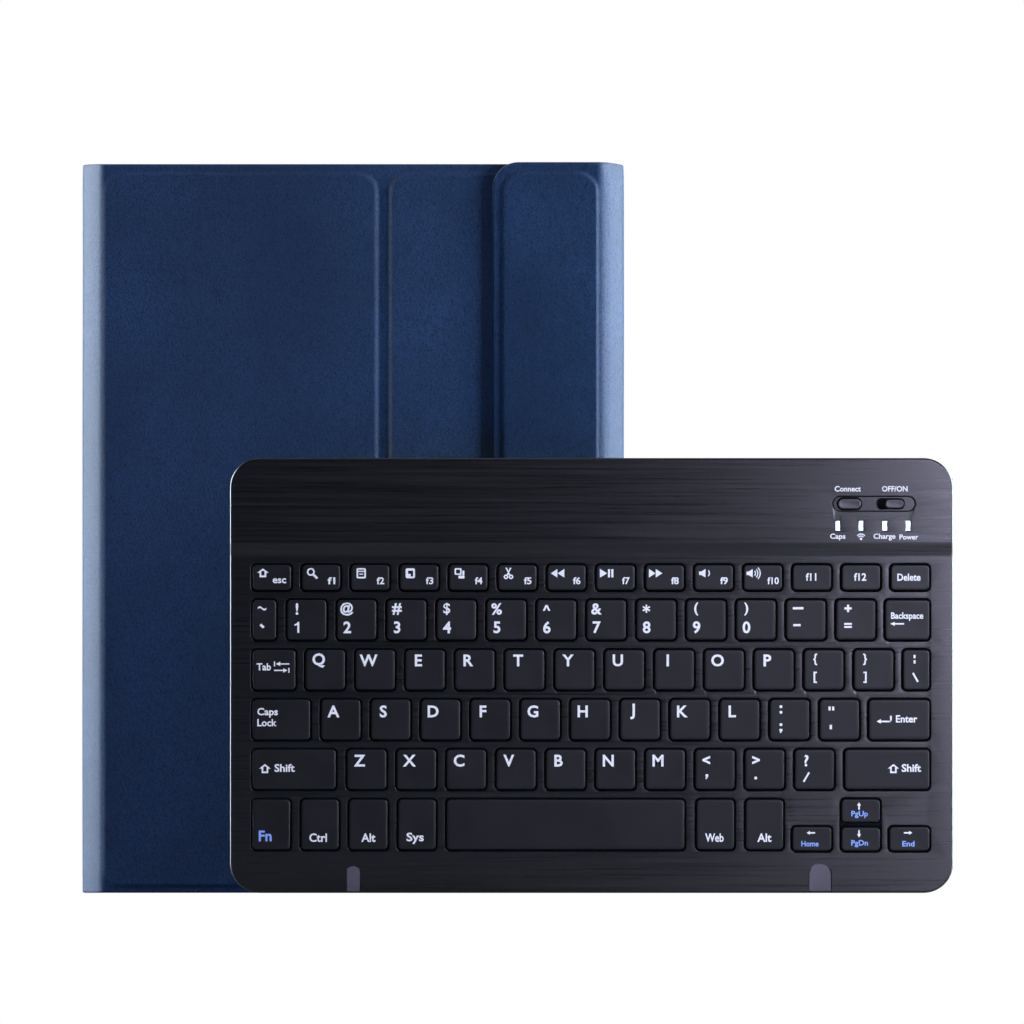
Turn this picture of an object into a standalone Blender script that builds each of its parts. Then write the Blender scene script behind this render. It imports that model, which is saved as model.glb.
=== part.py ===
"""Tablet folio case with a detachable wireless keyboard.

The folio is closed and stands upright on its short edge. The keyboard stands
on its long edge in front of it. World frame in metres: +X right, +Y towards
the back, +Z up, origin at the bottom centre of the bounding box.

The folio is laid out in its own millimetre coordinates: X from its left edge,
Y from the face of the tray panel towards the back, Z from the table.
The keyboard has (u, v, w): u from its left edge, v from its lower edge, w from
its front face into the body.
"""
import math

import bmesh
import bpy

MM = 0.001

# ---------------------------------------------------------------- folio sizes
FOLIO_W = 186.1            # closed width
FOLIO_H = 250.3            # closed height
FLAP_H = 250.9             # the flap stands slightly above the covers
SKIN = 0.6                 # PU leather
BOARD = 1.2                # stiffening board
LINING = 0.4               # microfibre
GLUE = 0.05                # clearance between glued layers
PANEL = 2.3                # one finished panel
DEPTH = 21.2               # closed, front face to back face, without the flap
R_CORNER = 8.2             # rounded edge of the spine and of the rear closure edge
R_FLAP = 9.6               # rounded edge where the closure turns into the flap
FLAP_BACK = -0.3           # inner face of the closed flap
FLAP_FRONT = -2.7          # outer face of the closed flap
CREASE_X = 103.5           # stand crease
CREASE_GAP = 0.6           # bare leather each side of the crease line
TRAY_PANEL_RIGHT = 180.0
FLAP_EDGE_X = 140.9        # free edge of the flap
FLAP_FLAT_RIGHT = FOLIO_W - R_FLAP
BORDER = 3.4               # leather rim outside the stiffening boards
SPLIT = 0.15               # clearance each side of a leather hinge line
HINGE = math.cos(math.radians(45))

# ---------------------------------------------------------------- tablet tray
TRAY = dict(x0=6.8, x1=179.8, z0=3.2, z1=247.1, y0=2.5, y1=12.2)
TRAY_WALL = 1.6
TRAY_FLOOR = 1.3
TRAY_LIP = 0.9
TRAY_LIP_T = 0.9
TRAY_R = 8.0

# ------------------------------------------------------------------- keyboard
KB_X = 51.7                # left edge, in folio X
KB_Y = -58.6               # front face of the raised band, in folio Y
KB_W, KB_H = 246.0, 148.0
KB_R = 10.0
BAND_V = 119.1             # lower edge of the raised band
RAMP_V = 114.7             # where the ramp reaches the key field
FIELD_W = 0.9              # key field lies this far behind the band
PLATE_IN = 2.1             # inner face of the top case's plate
CASE_WALL = 1.2
CASE_SPLIT = 4.7           # lower rim of the top case
BOTTOM_W0, BOTTOM_W1 = 5.0, 6.2
KEY_TOP, KEY_BASE = -0.1, 2.9
KEY_TRAVEL = 1.4
KEY_GAP = 0.45             # clearance round each keycap
KEY_TAPER = 0.35
KEY_R = 1.5
WEB_W0, WEB_W1 = 2.4, 2.95

CENTRE_X = (KB_X + KB_W) / 2
CENTRE_Y = (KB_Y + KEY_TOP + DEPTH) / 2


def world(x, y, z):
    return ((x - CENTRE_X) * MM, (y - CENTRE_Y) * MM, z * MM)


# -------------------------------------------------------------- clear the file
for old in list(bpy.data.objects):
    bpy.data.objects.remove(old, do_unlink=True)


# ------------------------------------------------------------------- materials
def material(name, colour, rough, metal=0.0):
    mat = bpy.data.materials.new(name)
    mat.use_nodes = True
    shader = mat.node_tree.nodes["Principled BSDF"]
    shader.inputs["Base Color"].default_value = (*colour, 1.0)
    shader.inputs["Roughness"].default_value = rough
    shader.inputs["Metallic"].default_value = metal
    return mat


LEATHER = (0.011, 0.030, 0.095)
LININGS = (0.030, 0.032, 0.038)
FIBRE = (0.34, 0.31, 0.27)
BLACK = (0.016, 0.016, 0.019)
STEEL = (0.55, 0.55, 0.56)

# --------------------------------------------------------------------- bodies
P_SPINE = (R_CORNER * (1 - HINGE), R_CORNER * (1 - HINGE))
P_COVER = (R_CORNER * (1 - HINGE), DEPTH - R_CORNER * (1 - HINGE))
P_CLOSURE = (FOLIO_W - R_CORNER * (1 - HINGE), DEPTH - R_CORNER * (1 - HINGE))
P_FLAP = (FOLIO_W - R_FLAP * (1 - HINGE), FLAP_FRONT + R_FLAP * (1 - HINGE))

AXES = {
    "stand_panel": (CREASE_X, 0.0, 0.0, None),
    "spine": (*P_SPINE, 0.0, "stand_panel"),
    "keyboard_cover": (*P_COVER, 0.0, "spine"),
    "closure_strip": (*P_CLOSURE, 0.0, "keyboard_cover"),
    "closure_flap": (*P_FLAP, 0.0, "closure_strip"),
    "keyboard": (KB_X + KB_W / 2, KB_Y, 0.0, None),
}
EMPTIES = {}
for body, (ax, ay, az, above) in AXES.items():
    empty = bpy.data.objects.new("axis_" + body, None)
    empty.empty_display_size = 0.01
    bpy.context.scene.collection.objects.link(empty)
    here = world(ax, ay, az)
    if above:
        empty.parent = EMPTIES[above][0]
        there = EMPTIES[above][1]
        empty.location = [a - b for a, b in zip(here, there)]
    else:
        empty.location = here
    EMPTIES[body] = (empty, here)


# -------------------------------------------------------------- mesh builders
def rounded(x0, x1, z0, z1, r, seg=5):
    """Outline of a rounded rectangle, anticlockwise."""
    out = []
    for cx, cz, a0 in ((x1 - r, z0 + r, -90), (x1 - r, z1 - r, 0), (x0 + r, z1 - r, 90), (x0 + r, z0 + r, 180)):
        for i in range(seg + 1):
            a = math.radians(a0 + 90 * i / seg)
            out.append((cx + r * math.cos(a), cz + r * math.sin(a)))
    return out


def add_loft(bm, low, high):
    """Closed solid between two rings of points with the same count."""
    a = [bm.verts.new(p) for p in low]
    b = [bm.verts.new(p) for p in high]
    n = len(a)
    faces = [bm.faces.new(a[::-1]), bm.faces.new(b)]
    for i in range(n):
        j = (i + 1) % n
        faces.append(bm.faces.new((a[i], a[j], b[j], b[i])))
    return faces


def solid(name, rings, mat=None, body=None, tool=False, origin=None):
    """One object from one or more lofts, faces turned outwards."""
    bm = bmesh.new()
    for low, high in rings:
        add_loft(bm, low, high)
    bmesh.ops.recalc_face_normals(bm, faces=bm.faces)
    if bm.calc_volume(signed=True) < 0:
        bmesh.ops.reverse_faces(bm, faces=bm.faces)
    mesh = bpy.data.meshes.new(name)
    bm.to_mesh(mesh)
    bm.free()
    obj = bpy.data.objects.new(name, mesh)
    bpy.context.scene.collection.objects.link(obj)
    if mat:
        mesh.materials.append(mat)
    if tool:
        obj.hide_render = True
        obj.display_type = "WIRE"
    if body:
        empty, here = EMPTIES[body]
        obj.parent = empty
        at = origin or here
        obj.location = [p - h for p, h in zip(at, here)]
        for v in mesh.vertices:
            v.co = [c - p for c, p in zip(v.co, at)]
    return obj


def y_prism(outline, y0, y1, small=None):
    """(x, z) outline extruded along Y, in folio millimetres."""
    return (
        [world(x, y0, z) for x, z in (small or outline)],
        [world(x, y1, z) for x, z in outline],
    )


def z_prism(profile, z0, z1):
    """(x, y) profile extruded along Z, in folio millimetres."""
    return [world(x, y, z0) for x, y in profile], [world(x, y, z1) for x, y in profile]


def box(x0, x1, y0, y1, z0, z1):
    return y_prism([(x0, z0), (x1, z0), (x1, z1), (x0, z1)], y0, y1)


def key_box(u0, u1, v0, v1, w0, w1):
    return box(KB_X + u0, KB_X + u1, KB_Y + w0, KB_Y + w1, v0, v1)


def boolean(obj, tool, operation="DIFFERENCE"):
    mod = obj.modifiers.new(operation.lower() + "_" + tool.name, "BOOLEAN")
    mod.operation = operation
    mod.object = tool
    mod.solver = "EXACT"
    return obj


def arc(cx, cy, r, a0, a1, seg=5):
    return [
        (cx + r * math.cos(math.radians(a0 + (a1 - a0) * i / seg)), cy + r * math.sin(math.radians(a0 + (a1 - a0) * i / seg)))
        for i in range(seg + 1)
    ]


mat_leather = material("leather", LEATHER, 0.55)
mat_board = material("board", FIBRE, 0.9)
mat_lining = material("lining", LININGS, 0.95)
mat_tray = material("tray", BLACK, 0.45)
mat_case = material("keyboard_case", BLACK, 0.38)
mat_key = material("keycap", (0.020, 0.020, 0.023), 0.42)
mat_steel = material("steel", STEEL, 0.35, 1.0)
mat_magnet = material("magnet", (0.42, 0.42, 0.44), 0.3, 1.0)
mat_pcb = material("circuit_board", (0.02, 0.12, 0.05), 0.5)
mat_foil = material("battery_foil", (0.62, 0.63, 0.65), 0.3, 0.8)
mat_film = material("membrane", (0.75, 0.75, 0.72), 0.4)
mat_rubber = material("rubber", (0.03, 0.03, 0.03), 0.85)
mat_clear = material("light_guide", (0.80, 0.84, 0.88), 0.2)


def own(mat, name):
    copy = mat.copy()
    copy.name = name
    return copy


# ---------------------------------------------------------------------- folio
# angle trimmed off each leather edge at a hinge line
TRIM = math.degrees(SPLIT / R_CORNER)
TRIM_F = math.degrees(SPLIT / R_FLAP)
FRONT_L = (R_CORNER, R_CORNER)                       # centres of the rounded edges
BACK_L = (R_CORNER, DEPTH - R_CORNER)
BACK_R = (FOLIO_W - R_CORNER, DEPTH - R_CORNER)
FRONT_R = (FOLIO_W - R_FLAP, FLAP_FRONT + R_FLAP)


def board_with_windows(name, x0, x1, y0, y1, z0, z1, r, mat, body, windows=()):
    obj = solid(name, [y_prism(rounded(x0, x1, z0, z1, r, 3), y0, y1)], own(mat, name), body)
    if windows:
        tool = solid("tool_" + name, [box(a, b, y0 - 1, y1 + 1, c, d) for a, b, c, d in windows], tool=True)
        boolean(obj, tool)
    return obj


# stand panel: from the hinge line on the rounded left edge to the crease
a_right = CREASE_X - CREASE_GAP
profile = arc(*FRONT_L, R_CORNER, 225 + TRIM, 270) + [
    (a_right, 0.0), (a_right, PANEL), (R_CORNER + 0.1, PANEL), (R_CORNER + 0.1, SKIN),
] + arc(*FRONT_L, R_CORNER - SKIN, 270, 225 + TRIM)
leather = solid("stand_panel_leather", [z_prism(profile, 0, FOLIO_H)], own(mat_leather, "stand_panel_leather"), "stand_panel")
pocket = solid("tool_stand_pocket", [box(R_CORNER + 0.7, a_right - SKIN, SKIN, PANEL + 1, SKIN, FOLIO_H - SKIN)], tool=True)
boolean(leather, pocket)
board_with_windows("stand_panel_board", R_CORNER + 0.9, 100.2, SKIN + GLUE, SKIN + GLUE + BOARD,
                   BORDER, FOLIO_H - BORDER, 5.0, mat_board, "stand_panel")
solid("stand_panel_lining", [box(R_CORNER + 0.8, a_right - SKIN - 0.1, SKIN + BOARD + 2 * GLUE, PANEL, SKIN + 0.1, FOLIO_H - SKIN - 0.1)],
      own(mat_lining, "stand_panel_lining"), "stand_panel")

# tray panel: from the crease to the right, under the flap
b_left = CREASE_X + CREASE_GAP
leather = solid("tray_panel_leather", [box(b_left, TRAY_PANEL_RIGHT, 0, PANEL, 0, FOLIO_H)], own(mat_leather, "tray_panel_leather"))
pocket = solid("tool_tray_pocket", [box(b_left + SKIN, TRAY_PANEL_RIGHT - SKIN, SKIN, PANEL + 1, SKIN, FOLIO_H - SKIN)], tool=True)
boolean(leather, pocket)
KEEPER = (147.6, 158.4, 55.0, 195.0)
board_with_windows("tray_panel_board", 106.8, TRAY_PANEL_RIGHT - 1.2, SKIN + GLUE, SKIN + GLUE + BOARD,
                   BORDER, FOLIO_H - BORDER, 5.0, mat_board, None, [KEEPER])
solid("keeper_plate", [box(KEEPER[0] + 0.3, KEEPER[1] - 0.3, SKIN + GLUE, SKIN + GLUE + 1.0, KEEPER[2] + 0.3, KEEPER[3] - 0.3)],
      own(mat_steel, "keeper_plate"))
solid("tray_panel_lining", [box(b_left + SKIN + 0.1, TRAY_PANEL_RIGHT - SKIN - 0.1, SKIN + BOARD + 2 * GLUE, PANEL, SKIN + 0.1, FOLIO_H - SKIN - 0.1)],
      own(mat_lining, "tray_panel_lining"))

# hard tray that holds the tablet: floor, walls and an inward lip
t = TRAY
tray = solid("tablet_tray", [y_prism(rounded(t["x0"], t["x1"], t["z0"], t["z1"], TRAY_R, 4), t["y0"], t["y1"])], own(mat_tray, "tablet_tray"))
inner = rounded(t["x0"] + TRAY_WALL, t["x1"] - TRAY_WALL, t["z0"] + TRAY_WALL, t["z1"] - TRAY_WALL, TRAY_R - TRAY_WALL, 4)
mouth = rounded(t["x0"] + TRAY_WALL + TRAY_LIP, t["x1"] - TRAY_WALL - TRAY_LIP, t["z0"] + TRAY_WALL + TRAY_LIP,
                t["z1"] - TRAY_WALL - TRAY_LIP, TRAY_R - TRAY_WALL - TRAY_LIP, 4)
boolean(tray, solid("tool_tray_inside", [y_prism(inner, t["y0"] + TRAY_FLOOR, t["y1"] - TRAY_LIP_T)], tool=True))
boolean(tray, solid("tool_tray_mouth", [y_prism(mouth, t["y1"] - TRAY_LIP_T - 1.0, t["y1"] + 1)], tool=True))
boolean(tray, solid("tool_tray_notches", [
    box(86.0, 101.0, 5.2, t["y1"] + 1, t["z0"] - 1, t["z0"] + TRAY_WALL + 4),          # charging plug
    box(t["x1"] - TRAY_WALL - 4, t["x1"] + 1, 5.2, t["y1"] + 1, 188.0, 226.0),          # side buttons
], tool=True))

# spine: both rounded left edges and the flat strip between them
profile = arc(*FRONT_L, R_CORNER, 225 - TRIM, 180) + arc(*BACK_L, R_CORNER, 180, 135 + TRIM) \
    + arc(*BACK_L, R_CORNER - SKIN, 135 + TRIM, 180) + arc(*FRONT_L, R_CORNER - SKIN, 180, 225 - TRIM)
solid("spine_leather", [z_prism(profile, 0, FOLIO_H)], own(mat_leather, "spine_leather"), "spine")
solid("spine_board", [box(0.85, 2.05, 6.4, 14.8, BORDER, FOLIO_H - BORDER)], own(mat_board, "spine_board"), "spine")

# keyboard-side cover
k0, k1 = DEPTH - PANEL, DEPTH
profile = arc(*BACK_L, R_CORNER, 135 - TRIM, 90) + arc(*BACK_R, R_CORNER, 90, 45 + TRIM) \
    + arc(*BACK_R, R_CORNER - SKIN, 45 + TRIM, 90) + [
        (BACK_R[0] - 0.1, DEPTH - SKIN), (BACK_R[0] - 0.1, k0), (R_CORNER + 0.1, k0), (R_CORNER + 0.1, DEPTH - SKIN),
] + arc(*BACK_L, R_CORNER - SKIN, 90, 135 - TRIM)
leather = solid("keyboard_cover_leather", [z_prism(profile, 0, FOLIO_H)], own(mat_leather, "keyboard_cover_leather"), "keyboard_cover")
pocket = solid("tool_cover_pocket", [box(R_CORNER + 0.7, BACK_R[0] - 0.7, k0 - 1, DEPTH - SKIN, SKIN, FOLIO_H - SKIN)], tool=True)
boolean(leather, pocket)
DOCK = (140.0, 172.0, 12.0, 238.0)
board_with_windows("keyboard_cover_board", R_CORNER + 0.9, BACK_R[0] - 0.9, DEPTH - SKIN - GLUE - BOARD, DEPTH - SKIN - GLUE,
                   BORDER, FOLIO_H - BORDER, 5.0, mat_board, "keyboard_cover", [DOCK])
solid("docking_steel_sheet", [box(DOCK[0] + 0.3, DOCK[1] - 0.3, DEPTH - SKIN - GLUE - BOARD, DEPTH - SKIN - GLUE - BOARD + 0.5, DOCK[2] + 0.3, DOCK[3] - 0.3)],
      own(mat_steel, "docking_steel_sheet"), "keyboard_cover")
solid("keyboard_cover_lining", [box(R_CORNER + 0.8, BACK_R[0] - 0.8, k0, DEPTH - SKIN - BOARD - 2 * GLUE, SKIN + 0.1, FOLIO_H - SKIN - 0.1)],
      own(mat_lining, "keyboard_cover_lining"), "keyboard_cover")

# closure strip: the rounded right edges and the flat between them
profile = arc(*BACK_R, R_CORNER, 45 - TRIM, 0) + arc(*FRONT_R, R_FLAP, 0, -45 + TRIM_F) \
    + arc(*FRONT_R, R_FLAP - SKIN, -45 + TRIM_F, 0) + arc(*BACK_R, R_CORNER - SKIN, 0, 45 - TRIM)
solid("closure_strip_leather", [z_prism(profile, 0, FOLIO_H)], own(mat_leather, "closure_strip_leather"), "closure_strip")
solid("closure_strip_board", [box(184.15, 185.35, 5.6, 14.4, BORDER, FOLIO_H - BORDER)], own(mat_board, "closure_strip_board"), "closure_strip")

# flap: rounded free corners, pocket for the board from the back
profile = arc(*FRONT_R, R_FLAP, -45 - TRIM_F, -90) + [
    (FLAP_EDGE_X, FLAP_FRONT), (FLAP_EDGE_X, FLAP_BACK), (FLAP_FLAT_RIGHT, FLAP_BACK), (FLAP_FLAT_RIGHT, FLAP_FRONT + SKIN),
] + arc(*FRONT_R, R_FLAP - SKIN, -90, -45 - TRIM_F)
leather = solid("flap_leather", [z_prism(profile, 0, FLAP_H)], own(mat_leather, "flap_leather"), "closure_flap")
tool = solid("tool_flap_outline", [y_prism(rounded(FLAP_EDGE_X, 220.0, 0, FLAP_H, 9.0, 6), FLAP_FRONT - 2, 30.0)], tool=True)
boolean(leather, tool, "INTERSECT")
tool = solid("tool_flap_pocket", [y_prism(rounded(FLAP_EDGE_X + SKIN, FLAP_FLAT_RIGHT - SKIN, SKIN, FLAP_H - SKIN, 8.4, 5), FLAP_FRONT + SKIN, FLAP_BACK + 1)], tool=True)
boolean(leather, tool)
MAGNETS = [(147.6, 158.4, 60.0, 90.4), (147.6, 158.4, 160.0, 190.4)]
board_with_windows("flap_board", 144.9, FLAP_FLAT_RIGHT - 0.9, FLAP_FRONT + SKIN + GLUE, FLAP_FRONT + SKIN + GLUE + BOARD,
                   4.0, FLAP_H - 4.0, 5.5, mat_board, "closure_flap", MAGNETS)
for label, (x0, x1, z0, z1) in zip(("lower", "upper"), MAGNETS):
    solid("flap_magnet_" + label, [box(x0 + 0.3, x1 - 0.3, FLAP_FRONT + SKIN + GLUE, FLAP_FRONT + SKIN + GLUE + BOARD, z0 + 0.3, z1 - 0.3)],
          own(mat_magnet, "flap_magnet_" + label), "closure_flap")
solid("flap_lining", [y_prism(rounded(FLAP_EDGE_X + 0.9, FLAP_FLAT_RIGHT - 0.9, SKIN + 0.3, FLAP_H - SKIN - 0.3, 8.1, 5),
                              FLAP_BACK - 0.1 - LINING, FLAP_BACK - 0.1)],
      own(mat_lining, "flap_lining"), "closure_flap")

# ------------------------------------------------------------------- keyboard
# keycaps: (name of the piece they belong to, u0, u1, v0, v1)
KEYS = []


def row(piece, start, count, pitch, width, v0, v1):
    for i in range(count):
        KEYS.append((piece, start + pitch * i, start + pitch * i + width, v0, v1))


V1, V2, V3, V4, V5, V6 = (102.8, 111.8), (85.9, 99.9), (68.9, 82.9), (51.9, 66.0), (35.0, 49.0), (14.5, 32.0)
EDGE_R = 238.1
row("esc_key", 7.5, 1, 0, 13.5, *V1)
row("function_row_keys", 24.2, 12, 16.70, 13.5, *V1)
row("delete_key", 224.6, 1, 0, EDGE_R - 224.6, *V1)
row("number_row_keys", 7.5, 1, 0, 8.4, *V2)
row("number_row_keys", 19.2, 12, 16.98, 13.8, *V2)
row("backspace_key", 222.7, 1, 0, EDGE_R - 222.7, *V2)
row("tab_key", 7.5, 1, 0, 15.0, *V3)
row("upper_letter_keys", 25.5, 12, 16.96, 13.8, *V3)
row("upper_letter_keys", 228.8, 1, 0, EDGE_R - 228.8, *V3)
row("caps_lock_key", 7.5, 1, 0, 20.0, *V4)
row("home_letter_keys", 30.8, 11, 16.96, 13.8, *V4)
row("enter_key", 217.1, 1, 0, EDGE_R - 217.1, *V4)
row("left_shift_key", 7.5, 1, 0, 28.7, *V5)
row("lower_letter_keys", 39.6, 10, 16.92, 13.8, *V5)
row("right_shift_key", 208.9, 1, 0, EDGE_R - 208.9, *V5)
row("fn_key", 7.5, 1, 0, 13.2, *V6)
row("ctrl_key", 24.0, 1, 0, 13.2, *V6)
row("left_alt_key", 40.3, 1, 0, 13.5, *V6)
row("system_key", 57.0, 1, 0, 13.2, *V6)
row("space_bar", 73.5, 1, 0, 81.3, *V6)
row("browser_key", 158.5, 1, 0, 13.2, *V6)
row("right_alt_key", 175.2, 1, 0, 13.2, *V6)
row("arrow_left_key", 191.1, 1, 0, 13.7, 14.1, 22.7)
row("arrow_up_key", 207.8, 1, 0, 13.5, 23.8, 32.1)
row("arrow_down_key", 207.8, 1, 0, 13.5, 14.1, 22.5)
row("arrow_right_key", 224.1, 1, 0, EDGE_R - 224.1, 14.1, 22.7)


def kb_outline(u0, u1, v0, v1, r, seg=1):
    return rounded(KB_X + u0, KB_X + u1, v0, v1, r, seg)


def kb_prism(u0, u1, v0, v1, r, w0, w1, seg=1, taper=0.0):
    small = kb_outline(u0 + taper, u1 - taper, v0 + taper, v1 - taper, r - taper * 0.4, seg) if taper else None
    return y_prism(kb_outline(u0, u1, v0, v1, r, seg), KB_Y + w0, KB_Y + w1, small)


# top case: plate, perimeter wall, sunk key field, ramp, key openings
case = solid("keyboard_top_case", [kb_prism(0, KB_W, 0, KB_H, KB_R, 0, CASE_SPLIT, 6)], own(mat_case, "keyboard_top_case"), "keyboard")
boolean(case, solid("tool_case_inside", [kb_prism(CASE_WALL, KB_W - CASE_WALL, CASE_WALL, KB_H - CASE_WALL, KB_R - CASE_WALL, PLATE_IN, CASE_SPLIT + 1, 6)], tool=True))
ramp = [(-1.0, -1.0), (BAND_V + 4.9, -1.0), (RAMP_V, FIELD_W), (-1.0, FIELD_W)]
boolean(case, solid("tool_key_field", [(
    [world(KB_X - 1, KB_Y + w, v) for v, w in ramp],
    [world(KB_X + KB_W + 1, KB_Y + w, v) for v, w in ramp],
)], tool=True))
holes = []
for piece, u0, u1, v0, v1 in KEYS:
    if piece == "arrow_up_key":
        continue                                     # up and down share one opening
    if piece == "arrow_down_key":
        v1 = 32.1
    holes.append(kb_prism(u0 - KEY_GAP, u1 + KEY_GAP, v0 - KEY_GAP, v1 + KEY_GAP, KEY_R + 0.3, FIELD_W - 1.5, PLATE_IN + 0.9))
boolean(case, solid("tool_key_openings", holes, tool=True))
CTRL_V = 132.4
boolean(case, solid("tool_control_recess", [kb_prism(205.0, 233.3, CTRL_V - 2.65, CTRL_V + 2.65, 2.64, -1, 1.2, 5)], tool=True))
boolean(case, solid("tool_control_slots", [
    kb_prism(206.4, 215.2, CTRL_V - 2.25, CTRL_V + 2.25, 2.2, 0.6, PLATE_IN + 1, 4),
    kb_prism(219.9, 229.7, CTRL_V - 2.0, CTRL_V + 2.0, 1.9, 0.6, PLATE_IN + 1, 4),
], tool=True))
LED_U, LED_V = (206.8, 214.7, 222.8, 230.7), 124.9
boolean(case, solid("tool_windows", [key_box(u - 1.05, u + 1.05, LED_V - 1.95, LED_V + 1.95, -1, PLATE_IN + 1) for u in LED_U], tool=True))
boolean(case, solid("tool_grooves", [
    kb_prism(39.5, 44.6, -8.0, 9.4, 2.5, -1, FIELD_W + 0.6, 4),
    kb_prism(196.8, 204.8, -8.0, 10.2, 3.9, -1, FIELD_W + 0.6, 4),
], tool=True))
boolean(case, solid("tool_charge_hole", [key_box(KB_W - 3, KB_W + 1, 133.0, 141.4, 2.3, 4.75)], tool=True))

# bottom case with two recesses for the feet
bottom = solid("keyboard_bottom_case", [kb_prism(0, KB_W, 0, KB_H, KB_R, BOTTOM_W0, BOTTOM_W1, 6)], own(mat_case, "keyboard_bottom_case"), "keyboard")
FEET = {"upper": (18.0, 228.0, 134.0, 139.0), "lower": (18.0, 228.0, 7.0, 12.0)}
boolean(bottom, solid("tool_foot_recess", [kb_prism(a, b, c, d, 2.0, BOTTOM_W1 - 0.6, BOTTOM_W1 + 1, 3) for a, b, c, d in FEET.values()], tool=True))
for label, (a, b, c, d) in FEET.items():
    solid("rubber_foot_" + label, [kb_prism(a + 0.3, b - 0.3, c + 0.3, d - 0.3, 1.7, BOTTOM_W1 - 0.55, BOTTOM_W1 + 0.4, 3)], own(mat_rubber, "rubber_foot_" + label), "keyboard")

# inside, from the keys to the back
solid("membrane_sheet", [key_box(5, 241, 5, 115.5, 4.37, 4.60)], own(mat_film, "membrane_sheet"), "keyboard")
solid("key_support_plate", [key_box(4, 242, 4, 116.5, 4.65, 4.95)], own(mat_steel, "key_support_plate"), "keyboard")
solid("battery", [kb_prism(22, 96, 120.5, 143.5, 1.5, 2.3, 4.8, 2)], own(mat_foil, "battery"), "keyboard")
solid("controller_board", [key_box(198, 237.6, 119.5, 143.0, 4.05, 4.85)], own(mat_pcb, "controller_board"), "keyboard")
solid("power_switch_body", [key_box(219.0, 231.6, CTRL_V - 2.4, CTRL_V + 2.4, 3.05, 4.0)], own(mat_steel, "power_switch_body"), "keyboard")
for label, (a, b) in {"left": (6.0, 17.0), "right": (180.0, 191.0)}.items():
    solid("docking_magnet_" + label, [key_box(a, b, 122.0, 142.0, 2.4, 4.8)], own(mat_magnet, "docking_magnet_" + label), "keyboard")
guide = solid("indicator_light_guide", [key_box(204.5, 233.0, LED_V - 1.5, LED_V + 1.5, 2.5, 3.7)], own(mat_clear, "indicator_light_guide"), "keyboard")
boolean(guide, solid("tool_guide_windows", [key_box(u - 0.75, u + 0.75, LED_V - 1.65, LED_V + 1.65, 0.05, 3.0) for u in LED_U], tool=True), "UNION")
socket = solid("charging_socket", [key_box(238.2, KB_W - 0.1, 133.4, 141.0, 2.45, 4.6)], own(mat_steel, "charging_socket"), "keyboard")
boolean(socket, solid("tool_socket_mouth", [key_box(239.0, KB_W + 1, 133.7, 140.7, 2.75, 4.3)], tool=True))

# controls
solid("connect_button", [kb_prism(206.8, 214.8, CTRL_V - 1.85, CTRL_V + 1.85, 1.82, 0.35, 3.0, 5)], own(mat_key, "connect_button"), "keyboard",
      origin=world(KB_X + 210.8, KB_Y + 0.35, CTRL_V))
solid("power_switch_knob", [kb_prism(222.9, 229.3, CTRL_V - 1.6, CTRL_V + 1.6, 1.55, 0.35, 2.9, 5)], own(mat_key, "power_switch_knob"), "keyboard",
      origin=world(KB_X + 226.1, KB_Y + 0.35, CTRL_V))

# keycaps; the caps of one row that share a press are held on one thin bar
pieces = {}
for piece, u0, u1, v0, v1 in KEYS:
    pieces.setdefault(piece, []).append((u0, u1, v0, v1))
for piece, caps in pieces.items():
    u0, u1 = min(c[0] for c in caps), max(c[1] for c in caps)
    v0, v1 = caps[0][2], caps[0][3]
    at = world(KB_X + (u0 + u1) / 2, KB_Y + KEY_TOP, (v0 + v1) / 2)
    forms = [kb_prism(a, b, c, d, KEY_R, KEY_TOP, KEY_BASE, 1, KEY_TAPER) for a, b, c, d in caps]
    if len(caps) == 1:
        solid(piece, forms, own(mat_key, piece), "keyboard", origin=at)
        continue
    mid = (v0 + v1) / 2
    bar = solid(piece, [key_box(u0 + 2, u1 - 2, mid - 2.5, mid + 2.5, WEB_W0, WEB_W1)], own(mat_key, piece), "keyboard", origin=at)
    boolean(bar, solid("tool_" + piece, forms, tool=True), "UNION")
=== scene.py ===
"""Looks of the tablet keyboard case: a navy folio standing closed behind its black wireless keyboard."""
import math

import bmesh
import bpy
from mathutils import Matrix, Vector
from mathutils.geometry import delaunay_2d_cdt


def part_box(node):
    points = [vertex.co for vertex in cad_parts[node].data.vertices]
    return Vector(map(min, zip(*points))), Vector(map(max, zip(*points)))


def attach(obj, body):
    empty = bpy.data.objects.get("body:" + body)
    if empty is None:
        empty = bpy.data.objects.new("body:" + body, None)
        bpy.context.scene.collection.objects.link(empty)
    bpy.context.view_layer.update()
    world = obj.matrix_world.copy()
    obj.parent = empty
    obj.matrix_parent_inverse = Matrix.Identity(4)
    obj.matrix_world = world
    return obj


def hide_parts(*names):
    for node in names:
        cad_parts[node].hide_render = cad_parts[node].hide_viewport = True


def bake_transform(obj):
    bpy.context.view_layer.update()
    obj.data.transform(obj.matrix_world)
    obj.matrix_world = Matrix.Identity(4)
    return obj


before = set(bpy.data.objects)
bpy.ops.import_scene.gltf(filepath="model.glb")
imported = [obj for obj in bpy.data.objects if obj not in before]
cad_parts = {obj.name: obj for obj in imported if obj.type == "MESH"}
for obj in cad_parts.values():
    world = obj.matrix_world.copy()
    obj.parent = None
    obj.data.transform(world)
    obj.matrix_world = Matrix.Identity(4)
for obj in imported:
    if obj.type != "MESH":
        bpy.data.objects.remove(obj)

scene = bpy.context.scene
bpy.context.view_layer.update()

MM = 0.001
FX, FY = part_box("spine_leather")[0].x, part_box("tray_panel_leather")[0].y     # the folio's left edge and front face
KX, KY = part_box("keyboard_top_case")[0].x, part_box("keyboard_top_case")[0].y  # the keyboard's left edge and front face
H = 250.3          # covers
H_FLAP = 250.9     # flap
DEPTH = 21.2


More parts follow.
